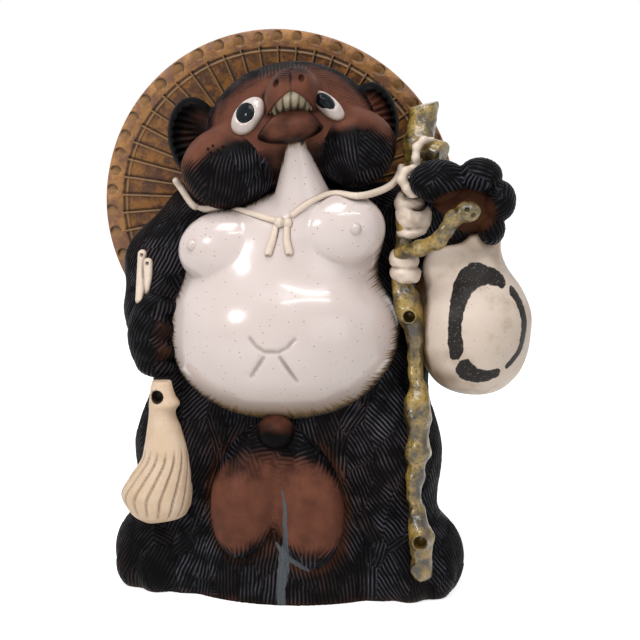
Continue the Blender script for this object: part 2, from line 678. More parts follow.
# Geometry Nodes: comb strokes on a furred skin. Each stroke is a patch round a scattered point. The comb's
# teeth run along the fur in it, and its lower end lies a little deeper than its neighbours.


def comb_strokes():
    tree = bpy.data.node_groups.new("comb strokes", "GeometryNodeTree")
    sockets = (
        ("Geometry", "NodeSocketGeometry"),
        ("Stroke Spacing", "NodeSocketFloat"),
        ("Stretch", "NodeSocketVector"),
        ("Tooth Pitch", "NodeSocketFloat"),
        ("Tooth Depth", "NodeSocketFloat"),
        ("Stroke Depth", "NodeSocketFloat"),
        ("Scatter", "NodeSocketFloat"),
        ("Seed", "NodeSocketInt"),
        ("Material", "NodeSocketMaterial"),
    )
    for title, kind in sockets:
        tree.interface.new_socket(title, in_out="INPUT", socket_type=kind)
    tree.interface.new_socket("Geometry", in_out="OUTPUT", socket_type="NodeSocketGeometry")
    given = add(tree, "NodeGroupInput").outputs
    here = add(tree, "GeometryNodeInputPosition").outputs[0]
    facing = add(tree, "GeometryNodeInputNormal").outputs[0]
    flow = add(
        tree, "GeometryNodeInputNamedAttribute", {"Name": "flow"}, data_type="FLOAT_VECTOR"
    ).outputs["Attribute"]
    mask = add(
        tree, "GeometryNodeInputNamedAttribute", {"Name": "comb"}, data_type="FLOAT"
    ).outputs["Attribute"]
    starts = add(
        tree,
        "GeometryNodeDistributePointsOnFaces",
        {
            "Mesh": given["Geometry"],
            "Distance Min": given["Stroke Spacing"],
            "Density Max": 20000.0,
            "Seed": given["Seed"],
        },
        distribute_method="POISSON",
    ).outputs["Points"]
    starts = add(
        tree,
        "GeometryNodeStoreNamedAttribute",
        {"Geometry": starts, "Name": "home", "Value": here},
        data_type="FLOAT_VECTOR",
        domain="POINT",
    ).outputs[0]
    home = add(
        tree, "GeometryNodeInputNamedAttribute", {"Name": "home"}, data_type="FLOAT_VECTOR"
    ).outputs["Attribute"]
    squeezed = add(
        tree, "ShaderNodeVectorMath", {0: here, 1: given["Stretch"]}, operation="MULTIPLY"
    ).outputs[0]
    starts = add(tree, "GeometryNodeSetPosition", {"Geometry": starts, "Position": squeezed}).outputs[0]
    which = add(
        tree, "GeometryNodeSampleNearest", {"Geometry": starts, "Sample Position": squeezed}
    ).outputs[0]
    middle = add(
        tree,
        "GeometryNodeSampleIndex",
        {"Geometry": starts, "Value": home, "Index": which},
        data_type="FLOAT_VECTOR",
    ).outputs[0]
    along = add(
        tree,
        "GeometryNodeSampleIndex",
        {"Geometry": starts, "Value": flow, "Index": which},
        data_type="FLOAT_VECTOR",
    ).outputs[0]
    swing = add(
        tree, "FunctionNodeRandomValue", {2: -1.0, 3: 1.0, "ID": which, "Seed": given["Seed"]}
    ).outputs[1]
    swing = add(tree, "ShaderNodeMath", {0: swing, 1: given["Scatter"]}, operation="MULTIPLY").outputs[0]
    along = add(
        tree,
        "ShaderNodeVectorRotate",
        {"Vector": along, "Axis": facing, "Angle": swing},
        rotation_type="AXIS_ANGLE",
    ).outputs[0]
    side = add(tree, "ShaderNodeVectorMath", {0: facing, 1: along}, operation="CROSS_PRODUCT").outputs[0]
    side = add(tree, "ShaderNodeVectorMath", {0: side}, operation="NORMALIZE").outputs[0]
    offset = add(tree, "ShaderNodeVectorMath", {0: here, 1: middle}, operation="SUBTRACT").outputs[0]
    across = add(tree, "ShaderNodeVectorMath", {0: offset, 1: side}, operation="DOT_PRODUCT").outputs["Value"]
    length = add(
        tree, "ShaderNodeVectorMath", {0: offset, 1: along}, operation="DOT_PRODUCT"
    ).outputs["Value"]
    waver = add(tree, "ShaderNodeTexNoise", {"Vector": here, "Scale": 60.0, "Detail": 1.0}).outputs[0]
    waver = add(tree, "ShaderNodeMath", {0: waver, 1: 0.003, 2: across}, operation="MULTIPLY_ADD").outputs[0]
    tooth = add(tree, "ShaderNodeMath", {0: waver, 1: given["Tooth Pitch"]}, operation="DIVIDE").outputs[0]
    turn = add(tree, "ShaderNodeMath", {0: tooth, 1: 2 * math.pi}, operation="MULTIPLY").outputs[0]
    wave = add(tree, "ShaderNodeMath", {0: turn}, operation="COSINE").outputs[0]
    teeth = add(tree, "ShaderNodeMath", {0: wave, 1: given["Tooth Depth"]}, operation="MULTIPLY").outputs[0]
    slant = add(
        tree, "ShaderNodeMath", {0: length, 1: given["Stroke Spacing"]}, operation="DIVIDE"
    ).outputs[0]
    slant = add(tree, "ShaderNodeMath", {0: slant, 1: given["Stroke Depth"]}, operation="MULTIPLY").outputs[0]
    lift = add(tree, "ShaderNodeMath", {0: teeth, 1: slant}, operation="SUBTRACT").outputs[0]
    lift = add(tree, "ShaderNodeMath", {0: lift, 1: mask}, operation="MULTIPLY").outputs[0]
    move = add(tree, "ShaderNodeVectorMath", {0: facing, "Scale": lift}, operation="SCALE").outputs[0]
    shade = add(tree, "FunctionNodeRandomValue", {2: 0.15, 3: 1.0, "ID": which, "Seed": 7}).outputs[1]
    mesh = given["Geometry"]
    for title, value in (("comb_v", tooth), ("stroke", shade)):
        mesh = add(
            tree,
            "GeometryNodeStoreNamedAttribute",
            {"Geometry": mesh, "Name": title, "Value": value},
            data_type="FLOAT",
            domain="POINT",
        ).outputs[0]
    mesh = add(tree, "GeometryNodeSetPosition", {"Geometry": mesh, "Offset": move}).outputs[0]
    mesh = add(tree, "GeometryNodeRealizeInstances", {"Geometry": mesh}).outputs[0]
    mesh = add(tree, "GeometryNodeSetMaterial", {"Geometry": mesh, "Material": given["Material"]}).outputs[0]
    add(tree, "NodeGroupOutput", {"Geometry": mesh})
    return tree


COMB = comb_strokes()
COMB_PITCH = 3.1
COMB_SPACING = 20.0


def along_skin(direction, normals):
    """A direction laid flat on the skin, at each point."""
    flat = direction - (direction * normals).sum(1)[:, None] * normals
    return flat / np.maximum(np.sqrt((flat * flat).sum(1)), 1e-6)[:, None]


def combed(
    piece, stretch, seed, material,
    pitch=COMB_PITCH, spacing=COMB_SPACING, tooth=0.33, stroke=0.35, scatter=0.2,
):
    return shaped(piece, COMB, {
        "Stroke Spacing": spacing * MM,
        "Stretch": stretch,
        "Tooth Pitch": pitch * MM,
        "Tooth Depth": tooth * MM,
        "Stroke Depth": stroke * MM,
        "Scatter": scatter,
        "Seed": seed,
        "Material": material,
    })


# Body, legs, feet, tail and arms: one furred skin, cut into the pieces that were luted together

RING_HEIGHTS = (0, 30, 90, 150, 210, 255, 295, 338, 352)
RING_HALF_WIDTHS = (112, 117, 104, 103, 103, 97, 80, 44, 20)
RING_FRONTS = (105, 106, 90, 88, 87, 77, 56, 36, 18)
RING_BACKS = (84, 87, 84, 83, 77, 62, 46, 34, 18)
BODY_TOP = 345
FLOOR = 0.3
VENT_RADIUS = 11
VENT_BACK = 42


def trunk(p):
    z = np.clip(p[:, 2], RING_HEIGHTS[0], RING_HEIGHTS[-1])
    wide = curve_through(RING_HEIGHTS, RING_HALF_WIDTHS, z)
    front = curve_through(RING_HEIGHTS, RING_FRONTS, z)
    back = curve_through(RING_HEIGHTS, RING_BACKS, z)
    deep = (front + back) / 2
    x = p[:, 0] / wide
    y = (p[:, 1] - (back - front) / 2) / deep
    near = np.sqrt(x * x + y * y) + 1e-9
    form = near * (near - 1) / np.sqrt((x / wide) ** 2 + (y / deep) ** 2 + 1e-12)
    return np.maximum(form, p[:, 2] - BODY_TOP)


def leg(p, side):
    return chain(
        p,
        (
            (side * 52, -10, 235, 26), (side * 69, -23, 190, 38),
            (side * 78, -42, 115, 43), (side * 84, -40, 20, 40),
        ),
        20.0,
    )


def foot(p, side):
    middle = vec(side * 95, -40, 24)
    form = ball(p, middle, (50, 50, 46))
    for bearing in (-22, 12, 46):
        angle = math.radians(side * bearing)
        toe = middle + vec(37 * math.sin(angle), -37 * math.cos(angle), -6)
        form = blend(form, ball(p, toe, (18, 17, 22)), 3.0)
    return form


def tail(p):
    return ball(p, (0, 86, 66), (36, 28, 60))


def right_arm(p):
    return chain(
        p, ((-74, 0, 292, 36), (-104, -14, 260, 31), (-104, -38, 226, 27), (-102, -58, 208, 22)), 16.0
    )


def left_arm(p):
    return chain(
        p, ((74, 0, 292, 36), (100, -14, 290, 29), (120, -30, 298, 25), (137, -44, 314, 22)), 16.0
    )


FURRED = {
    "body": (trunk, (), 0),
    "left_leg": (leg, (1,), 16),
    "right_leg": (leg, (-1,), 16),
    "left_foot": (foot, (1,), 9),
    "right_foot": (foot, (-1,), 9),
    "tail": (tail, (), 7),
    "right_arm": (right_arm, (), 12),
    "left_arm": (left_arm, (), 12),
}


def furred(p, near=tuple(FURRED)):
    """Distances to the furred forms that are near, and to all of those with fillets."""
    forms = {}
    whole = None
    for name in near:
        maker, given, fillet = FURRED[name]
        forms[name] = maker(p, *given)
        whole = forms[name] if whole is None else blend(whole, forms[name], fillet)
    return forms, np.maximum(whole, FLOOR - p[:, 2])


def fur(p):
    return furred(p)[1]


# How far a piece reaches under its neighbours, and how steeply it sinks there
SEAM = 3.0
TUCK = 0.12


def locks(p):
    """Tufts of fur on the back, in rows shifted by half a step, clear of the tail."""
    form = np.full(len(p), 60.0, np.float32)
    for row, height in enumerate((40, 100, 160)):
        wide = float(curve_through(RING_HEIGHTS, RING_HALF_WIDTHS, vec(height))[0])
        front = float(curve_through(RING_HEIGHTS, RING_FRONTS, vec(height))[0])
        back = float(curve_through(RING_HEIGHTS, RING_BACKS, vec(height))[0])
        for index in range(6):
            bearing = 22 + 24 * (index + row % 2 / 2)
            x = (wide - 2.5) * math.cos(math.radians(bearing))
            y = ((front + back) / 2 - 2.5) * math.sin(math.radians(bearing)) + (back - front) / 2
            if abs(x) > 36 or height > 150:
                form = np.minimum(form, ball(p, (x, y, height), (13, 6, 27), axes_of(bearing - 90, 0)))
    return form


def fur_piece_form(name, near):
    """The part of the furred skin that belongs to one piece, tucked a little under its neighbours."""
    def form(p):
        forms, whole = furred(p, near)
        own = forms["body" if name.startswith("body") else name]
        others = np.min([f for f in forms.values() if f is not own], 0)
        share = own - others
        if name == "body_front":
            share = np.maximum(share, p[:, 1])
        if name == "body_back":
            share = np.maximum(share, -p[:, 1])
            whole = blend(whole, locks(p), 4.0)
        shape = np.maximum(whole + TUCK * np.maximum(share, 0), share - SEAM)
        if name == "body_back":
            vent = np.maximum(np.hypot(p[:, 0], p[:, 1] - VENT_BACK) - VENT_RADIUS, p[:, 2] - 70)
            shape = np.maximum(shape, -vent)
        return shape
    return form


# White pad: belly, chest, breasts and throat

CHEST_AXES = axes_of(0, -8)
CHEST = vec(0, -44, 284)
NAVEL_ARC = ((-18, 221), (-13, 215), (-6.5, 211), (4.5, 211), (11, 214.5), (17, 221))
NAVEL_LINES = (((-7.5, 206), (-18, 190)), ((5.5, 206.5), (18, 187)))
HEAD = vec(0, -20, 372)
HEAD_AXES = axes_of(7, -8)


def in_head(p):
    return (p - HEAD) @ HEAD_AXES


def chest_spot(x, y, z):
    return CHEST + CHEST_AXES @ vec(x, y, z)


def pad_plain(p):
    form = ball(p, (-2, -48, 212), (94, 76, 74))
    form = blend(form, ball(p, CHEST, (79, 52, 44), CHEST_AXES), 26.0)
    form = blend(form, rod(in_head(p), (2, -46, -70), (4, -60, -8), 30, 8), 8.0)
    # A line pressed in round the foot of each breast
    for x, y, z, deep in ((45, -27, 8, 0.9), (-45, -25, 4, 0.6)):
        breast = ball(p, chest_spot(x, y, z), (38, 27, 30.5), CHEST_AXES)
        pressed = np.exp(-((breast - form) / 1.8) ** 2)
        form = blend(form, breast, 4.0) + deep * pressed
    return form


def navel_lines():
    arc = first_touch(pad_plain, NAVEL_ARC)
    lines = list(zip(arc, arc[1:]))
    for pair in NAVEL_LINES:
        ends = first_touch(pad_plain, pair)
        lines.append(tuple(ends))
    return lines


NAVEL = navel_lines()


def navel(p):
    away = None
    for start, end in NAVEL:
        line = rod(p, start, end, 0.9, 0.7)
        away = line if away is None else np.minimum(away, line)
    return away


def pad(p):
    form = pad_plain(p)
    near = np.abs(form) < 14
    away = np.full(len(p), 50.0)
    away[near] = navel(p[near])
    return carve(form, away, 3.4)


# Head, in its own frame: face towards -Y

WHISKER_HOLES = (
    (-64, -1), (-60, 1), (-56, -3), (-52, -1), (-58, -6), (-62, -4), (-54, -6),
    (53.5, -4), (57.7, -8), (60.4, -4.4), (54, -8), (32.8, -7.5),
)
CHEEKS = {1: ((48, -34, -18), (33, 33, 31)), -1: ((-51, -34, -20), (38, 33, 33))}
SKULL = (67, 62, 54)
EARS = {1: ((67, 0, -2), (20, 15, 31)), -1: ((-77, 0, 4), (22, 15, 33))}


def skull(q):
    return ball(q, (0, 0, 0), SKULL)


def muzzle(q):
    """The head's frame, sheared to the lean of the muzzle."""
    return np.stack((q[:, 0] - 0.17 * (q[:, 2] + 3), q[:, 1], q[:, 2]), -1)


def above_lip(m):
    """How far a spot lies above the arched edge of the upper lip."""
    x = np.abs(m[:, 0])
    return (m[:, 2] - 35.7 + 0.35 * x + 0.036 * x * x) / np.sqrt(1 + (0.35 + 0.072 * x) ** 2)


def lower_lip(m):
    """Height of the top edge of the lower lip."""
    return 22 - 0.028 * m[:, 0] ** 2


def muzzle_plain(m):
    form = rod(m, (0, -29, 18), (0, -56, 32), 30, 20)
    return blend(form, ball(m, (0, -65, 35), (19, 20, 15)), 6.0)


NOSTRILS = ((-12, -77, 43), (8, -78.5, 44.5))


def nose_marks(m):
    """The two nostrils and the slit between them."""
    form = chain(m, ((-1, -73.5, 49, 0.6), (-0.7, -81.8, 43.5, 0.7), (0, -86, 37, 0.7)), 1.0)
    for nostril in NOSTRILS:
        form = np.minimum(form, ball(m, nostril, (2.4, 5.0, 3.8)))
    return form


def snout(q):
    m = muzzle(q)
    arch = above_lip(m)
    form = muzzle_plain(m) - 1.0 * np.exp(-((arch - 1.6) / 1.8) ** 2)
    form = carve(form, np.maximum(arch, m[:, 1] + 56), 1.2)
    return carve(form, nose_marks(m), 1.0)


def jaw(q):
    m = muzzle(q)
    top = (m[:, 2] - 22.5 + 0.03 * m[:, 0] ** 2) / np.sqrt(1 + (0.06 * m[:, 0]) ** 2)
    return carve(ball(m, (0, -60, 8), (29, 27, 13)), -top, 3.0)


TOOTH = 5.4


def between_teeth(m):
    """Distance to the nearest line between two teeth."""
    fan = m[:, 0] * 34 / (TOOTH * np.maximum(m[:, 2] + 12, 5))
    return np.abs((fan + 0.5) % 1 - 0.5) * TOOTH


def teeth(q):
    m = muzzle(q)
    low = lower_lip(m)
    gap = 0.8 + 1.6 * fade(5, 0, m[:, 2] - low)
    form = muzzle_plain(m) + 2.2 + 1.6 * np.maximum(0, 1 - between_teeth(m) / gap)
    form = np.maximum(form, above_lip(m) - 1.5)
    return np.maximum(form, np.maximum(low - 4 - m[:, 2], m[:, 1] + 52))


def cheek(q, side):
    return ball(q, *CHEEKS[side])


def ear(q, side):
    middle, radii = EARS[side]
    r = q - vec(*middle)
    angle = np.arctan2(r[:, 2], r[:, 0] * side + 30)
    outer = fade(-7, 6, r[:, 0] * side)
    cup = ball(q, vec(*middle) + vec(0, -11, 0), (radii[0] - 4, 9, radii[2] - 5))
    return carve(ball(q, middle, radii), cup + 0.9 * outer * np.cos(45.7 * angle), 2.0)


# Each eye: its middle, slant and half sizes, then where the pupil sits on it and the pupil's half sizes
EYES = {
    1: (vec(33.4, -53, 19), vec(0.65, 0, -0.76), (15.8, 7.6, 7), vec(-3.2, 0, 2.2), (9.6, 6.2)),
    -1: (vec(-30.6, -52, 19.7), vec(-0.74, 0, -0.67), (17, 11.6, 7.5), vec(0.6, 0, 1.0), (9.8, 9.6)),
}


def eye_axes(side):
    """Axes of an eye: along its slant, across it, and out of the skull."""
    spot, slant = EYES[side][:2]
    out = spot / vec(*SKULL) ** 2
    out = out / np.linalg.norm(out)
    slant = slant - out * (slant @ out)
    slant = slant / np.linalg.norm(slant)
    return np.stack((slant, np.cross(out, slant), out), 1)


def eye(q, side):
    spot, _, radii, shift, (long, short) = EYES[side]
    axes = eye_axes(side)
    dish = ball(q, spot + shift + axes[:, 2] * 6.5, (long + 0.4, short + 0.4, 4.5), axes)
    return carve(ball(q, spot - axes[:, 2] * 1.5, radii, axes), dish, 0.8)


def pupil(q, side):
    spot, _, _, shift, (long, short) = EYES[side]
    axes = eye_axes(side)
    return ball(q, spot + shift + axes[:, 2] * 1.0, (long, short, 5.2), axes)


def faces(q):
    """Distances to the clay forms of the head, and to all of them with fillets."""
    forms = {
        "head": skull(q),
        "snout": snout(q),
        "lower_jaw": jaw(q),
        "left_cheek": cheek(q, 1),
        "right_cheek": cheek(q, -1),
        "left_ear": ear(q, 1),
        "right_ear": ear(q, -1),
    }
    whole = forms["head"]
    for name, fillet in (
        ("left_cheek", 6), ("right_cheek", 6), ("left_ear", 4), ("right_ear", 4),
        ("snout", 3.5), ("lower_jaw", 2),
    ):
        whole = blend(whole, forms[name], fillet)
    # A line pressed in along both sides of the nose
    beside = np.exp(-((forms["snout"] - forms["head"]) / 2.0) ** 2) * fade(-34, -46, q[:, 1])
    beside = beside * fade(6, 3, forms["snout"])
    return forms, whole + 1.6 * beside


def head_form(p):
    return faces(in_head(p))[1]


def face_piece_form(name):
    def form(p):
        forms, whole = faces(in_head(p))
        own = forms[name]
        others = np.min([f for f in forms.values() if f is not own], 0)
        share = own - others
        return np.maximum(whole + TUCK * np.maximum(share, 0), share - SEAM)
    return form


# Things that the figure holds


def right_paw(p):
    form = ball(p, (-106, -66, 211), (20, 22, 33))
    for z, y in ((234, -72), (218, -78), (201, -77), (187, -72)):
        form = blend(form, ball(p, (-101, y, z), (17, 12, 10)), 3.0)
    return form


PAW_FINGERS = (
    ((122, -64, 337), (23, 18, 17)),
    ((154, -64, 342), (17, 17, 14)),
    ((169, -60, 322), (13, 16, 16)),
    ((163, -58, 300), (11, 14, 13)),
)


def left_paw(p):
    form = ball(p, (143, -50, 318), (28, 18, 24))
    for middle, radii in PAW_FINGERS:
        form = blend(form, ball(p, middle, radii), 2.5)
    return form


PURSE_HEIGHTS = (60.5, 65, 73, 83, 98, 115, 121, 139, 154.5, 159, 165, 171.5, 178)
PURSE_SIDES = (-104.5, -100, -99.4, -100.5, -97, -92.2, -92, -93.4, -94.4, -93, -94.2, -94.9, -94.7)
PURSE_WIDTHS = (6, 18, 25.2, 28.8, 25.4, 19.4, 18.2, 13.7, 10.9, 12.3, 10.4, 9, 7.5)
PURSE_DEPTHS = (5, 14, 20, 22, 20.5, 17, 16, 12.5, 11, 12.3, 10.5, 8.5, 6.5)
PURSE_HOLE = ((-97, -112, 166), (-97, -88, 166))


def purse(p):
    z = np.clip(p[:, 2], PURSE_HEIGHTS[0], PURSE_HEIGHTS[-1])
    wide = curve_through(PURSE_HEIGHTS, PURSE_WIDTHS, z)
    deep = curve_through(PURSE_HEIGHTS, PURSE_DEPTHS, z)
    x = p[:, 0] - curve_through(PURSE_HEIGHTS, PURSE_SIDES, z)
    y = p[:, 1] + 87
    near = np.sqrt((x / wide) ** 2 + (y / deep) ** 2) + 1e-9
    form = near * (near - 1) / np.sqrt((x / wide ** 2) ** 2 + (y / deep ** 2) ** 2 + 1e-9)
    # Folds sweep to the outer side on their way down
    angle = np.arctan2(y / deep, x / wide) - 0.008 * (z - 100)
    pleat = np.abs(np.sin(angle * 8))
    form += 1.6 * (1 - np.minimum(1, 1.9 * pleat)) * fade(128, 114, z) * fade(63, 71, z)
    form = np.maximum(form, np.maximum(60.8 - p[:, 2], p[:, 2] - 177.5))
    hole = rod(p, *PURSE_HOLE, 5.0, 5.0)
    slit = rod(p, (-99.5, -98.5, 167), (-101.5, -96, 180), 2.4, 2.0)
    return carve(form, np.minimum(hole, slit), 1.0)


FLASK_MOUTH = vec(156, -42, 292)
FLASK_AXES = axes_of(0, 4)
FLASK_DROPS = (-4, 0, 10, 22, 40, 58, 76, 96, 112, 122, 128)
FLASK_RING = 31
FLASK_RADII = (13, 14, 15, 20, 34, 43, 45, 42.5, 35, 25, 14)


def in_flask(p):
    q = (p - FLASK_MOUTH) @ FLASK_AXES
    return q[:, 0], q[:, 1], -q[:, 2]


def flask(p):
    x, y, drop = in_flask(p)
    radius = curve_through(FLASK_DROPS, FLASK_RADII, np.clip(drop, FLASK_DROPS[0], FLASK_DROPS[-1]))
    form = (np.hypot(x, y) - radius) * 0.88
    form = -blend(-form, -np.maximum(drop - 127, -4 - drop), 5.0)
    form = blend(form, ball(p, (129, -46, 266), (20, 16, 23)), 12.0)
    return form + 0.7 * lumps(p, 26, 3)


STAFF = (
    (106.8, -20, 391, 12), (104, -33, 364, 10.5), (100, -47, 332, 8), (97, -56, 304, 7),
    (93, -60, 276, 6.5), (92.5, -61, 255, 6), (97, -62, 243, 9), (100, -63, 232, 9.5),
    (103.6, -64, 223, 7.2), (105.6, -65, 211, 6), (105.2, -66, 198, 4.8), (105.6, -69, 186, 4.4),
    (108, -72, 174, 5), (108.2, -76, 163, 8.8), (108.4, -78, 152, 9.4), (108.7, -80, 139, 6.4),
    (109, -81, 126, 9.2), (106.9, -83, 105, 6.6), (106.4, -84, 90, 4.8), (109.6, -88, 78, 5.2),
    (110.6, -91, 70, 6), (112.9, -93, 58, 9), (113, -92, 45, 7), (113.6, -89, 31, 7.6), (113.8, -88, 27, 7),
)
KNOT_HOLES = ((100.5, -64, 231.5, 4.6), (113, -94, 57, 5.2))


def staff(p):
    form = chain(p, STAFF, 6.0)
    form = form + 1.0 * lumps(p, 9, 5) + 0.6 * lumps(p, 4, 6)
    for x, y, z, radius in KNOT_HOLES:
        form = blend(form, rod(p, (x, y - 4, z), (x, y - 8, z), radius + 2.6, radius + 1.8), 3.0)
        form = carve(form, rod(p, (x, y - 30, z), (x, y - 1, z), radius, radius), 1.4)
    return np.maximum(form, p[:, 2] - 0.25 * (p[:, 0] - 107) - 393)


BRANCH = (
    (93, -68, 280, 5.4), (108, -77, 286, 5.8), (122, -84, 292.5, 5.8), (129, -88, 302, 5.4),
    (135, -90, 312, 5.8), (144, -91, 317, 6.8), (148, -91, 317, 7.6),
)


def branch(p):
    form = chain(p, BRANCH, 4.0) + 0.7 * lumps(p, 7, 8) + 0.4 * lumps(p, 3.5, 7)
    for x, z in ((145.5, 319.5), (150.5, 315.5)):
        form = carve(form, ball(p, (x, -98.5, z), (1.9, 3.0, 1.7)), 0.8)
    return form


def stub(p):
    form = rod(p, (101, -36, 361), (122, -46, 357.5), 10, 9.5) + 0.8 * lumps(p, 9, 9)
    face = (p - vec(124.4, -48, 357.8)) @ vec(0.86, -0.45, -0.23)
    return -blend(-form, -face, 2.5) + 0.5 * lumps(p, 3.2, 4) * fade(-3, 0, face)


def ring_round(p, middle, axis, ring, thick, flat=1.0):
    axis = axis / np.linalg.norm(axis)
    q = p - middle
    up = q @ axis
    out = np.sqrt(np.maximum((q * q).sum(1) - up * up, 0)) - ring
    return np.hypot(out, up / flat) - thick


def upper_wrap(p):
    form = None
    for x, z, ring, thick, flat, lean in (
        (98, 318, 7.2, 5.2, 1.35, 0.3), (102.5, 307.5, 10, 5.0, 1.7, 0.14), (101, 298, 8, 4.0, 1.0, -0.2),
    ):
        band = ring_round(p, vec(x, -47 - (330 - z) * 0.3, z), vec(lean, -0.3, 1), ring, thick, flat)
        form = band if form is None else blend(form, band, 0.6)
    return form + 1.2 * lumps(p, 9, 11) + 0.5 * lumps(p, 4, 14)


def lower_wrap(p):
    form = None
    for x, z, lean in ((95, 274, 0.32), (96.5, 264, 0.1)):
        band = ring_round(p, vec(x, -60.5 - (272 - z) * 0.12, z), vec(lean, -0.1, 1), 7.2, 5.0, 1.25)
        form = band if form is None else blend(form, band, 0.6)
    return form + 0.9 * lumps(p, 9, 12) + 0.5 * lumps(p, 4, 15)


ROPE_TAIL = (
    (105, -62, 322, 3.6), (97.5, -64, 331, 3.5), (93, -64, 338, 3.4),
    (95.5, -62, 344, 3.1), (104, -58, 348, 2.6),
)
ROPE_LOOP = (
    (107, -58, 343, 1.2), (103.5, -60, 354.6, 2.7), (104.1, -58, 362.7, 2.9),
    (109, -54, 368.1, 2.6), (116, -50, 368.4, 1.5),
)


def rope_tail(p):
    return chain(p, ROPE_TAIL, 3.0)


def rope_loop(p):
    return chain(p, ROPE_LOOP, 3.0)


# Pouch

POUCH_KNOB = vec(-2, -97, 141)
POUCH_TILT = math.radians(15)
POUCH_LEAN = np.array(
    (
        (1, 0, 0),
        (0, math.cos(POUCH_TILT), math.sin(POUCH_TILT)),
        (0, -math.sin(POUCH_TILT), math.cos(POUCH_TILT)),
    ),
    np.float32,
)


def pouch(p, side):
    lower = 79 if side > 0 else 86
    return ball(p, (side * 24 - 2, -87, lower), (29, 23, 51), axes_of(0, -side * 8) @ POUCH_LEAN)


def knob(p):
    return ball(p, POUCH_KNOB, (15, 14, 14))


def pouch_top(p):
    """What joins the two lobes above."""
    return ball(p, (-3, -80, 112), (34, 18, 40))


def pouches(p):
    lobes = blend(pouch(p, 1), pouch(p, -1), 6.0)
    lobes = blend(lobes, pouch_top(p), 12.0)
    return blend(lobes, fur(p) + 3.0, 4.0)


# Build the furred pieces

CRACK = (
    (3, 98, 0.7), (6.5, 82, 1.9), (6.8, 55, 2.4), (5.5, 42, 4.4), (5, 31, 4.8), (2.8, 16, 3.8), (3, 2, 3.6),
)
CRACK_FORKS = (((4, 44, 2.6), (-2.4, 53, 0.6)), ((6, 42, 3.0), (16, 36, 2.6), (25, 30, 1.2)))


def crack(p):
    """Distance to the filled crack as seen from the front."""
    flat = np.stack((p[:, 0], np.zeros(len(p)), p[:, 2]), -1)
    away = chain(flat, [(x, 0, z, r) for x, z, r in CRACK], 1.0)
    for fork in CRACK_FORKS:
        away = np.minimum(away, chain(flat, [(x, 0, z, r) for x, z, r in fork], 1.0))
    return away + 0.7 * lumps(flat, 3.5, 2)


BELLY_MIDDLE = vec(0, -48, 220)

ALL_BUT_TAIL = tuple(name for name in FURRED if name != "tail")
FUR_PIECES = {
    "body_front": ((-122, -112, -2), (122, 4, 352), FUR_CELL, (1, 1, 0.45), ALL_BUT_TAIL),
    "body_back": ((-122, -4, -2), (122, 92, 352), BACK_CELL, (1, 1, 0.45), tuple(FURRED)),
    "left_leg": (
        (28, -92, -2), (130, 30, 268), FUR_CELL, (1, 1, 0.45),
        ("body", "left_leg", "left_foot", "left_arm"),
    ),
    "right_leg": (
        (-130, -92, -2), (-28, 30, 268), FUR_CELL, (1, 1, 0.45),
        ("body", "right_leg", "right_foot", "right_arm"),
    ),
    "left_foot": ((36, -112, -2), (152, 14, 76), FUR_CELL, (1, 1, 0.6), ("body", "left_leg", "left_foot")),
    "right_foot": (
        (-152, -112, -2), (-36, 14, 76), FUR_CELL, (1, 1, 0.6),
        ("body", "right_leg", "right_foot"),
    ),
    "tail": ((-42, 50, 0), (42, 120, 132), BACK_CELL, (1, 1, 0.5), ("body", "tail")),
    "right_arm": (
        (-144, -92, 176), (-34, 44, 334), FUR_CELL, (0.6, 0.6, 1),
        ("body", "right_leg", "right_arm"),
    ),
    "left_arm": ((34, -78, 246), (166, 44, 346), FUR_CELL, (0.6, 1, 0.8), ("body", "left_leg", "left_arm")),
}

for number, (name, (low, high, cell, stretch, near)) in enumerate(FUR_PIECES.items()):
    form = fur_piece_form(name, near)
    points, quads, normals = skin(form, low, high, cell)
    # Fewer faces where others cover the body: on the seam's plane, underneath and behind the white pad
    if name.startswith("body"):
        seam_side = points[:, 1] if name == "body_front" else -points[:, 1]
        under = (points[:, 2] < 0.6) & (trunk(points) < -6)
        points, quads, normals = thin_out(
            points, quads, normals, (seam_side > 1.5) | under | (pad_plain(points) < -3)
        )
    away = points - BELLY_MIDDLE
    if name.endswith("arm"):
        side = 1 if name.startswith("left") else -1
        heading = 0 * points + vec(0.5 * side, 0.2, -1)
    else:
        heading = away * vec(0.9, 0.2, 0.5) / 60 + vec(0, 0, -0.9)
    furry = fade(0.5, 3.0, points[:, 2])
    tone = 0.32 * fade(12, 0, np.minimum(pouch(points, 1), pouch(points, -1))) + 0.12
    tone = tone + 0.25 * fade(8, 1, points[:, 2]) + 0.15 * lumps(points, 40, number)
    piece = make_piece(name, points, quads, BLACK_SLIP, {
        "flow": along_skin(heading, normals),
        "comb": furry,
        "tone": tone,
        "filler": -crack(points) if name == "body_front" else 0 * tone,
    })
    piece = combed(piece, stretch, number, BLACK_SLIP)
    declare(piece, "black_slip", name)

# Floor of the body, with the vent hole


def base_slab(p):
    form = np.maximum(trunk(p) + 9, np.maximum(-p[:, 2], p[:, 2] - 9))
    return np.maximum(form, VENT_RADIUS - np.hypot(p[:, 0], p[:, 1] - VENT_BACK))


points, quads, _ = skin(base_slab, (-112, -104, -2), (112, 84, 12), SLAB_CELL)
piece = make_piece("base_slab", points, quads, BROWN_CLAY, {
    "tone": 0.75 + 0 * points[:, 0],
    "comb": 0 * points[:, 0],
    "stroke": 0 * points[:, 0],
    "comb_v": 0 * points[:, 0],
})
declare(piece, "black_slip", "base_slab")

# Build the white pad


def pad_shell(p):
    return np.maximum(pad(p), -(np.minimum(fur(p), head_form(p)) + 9))


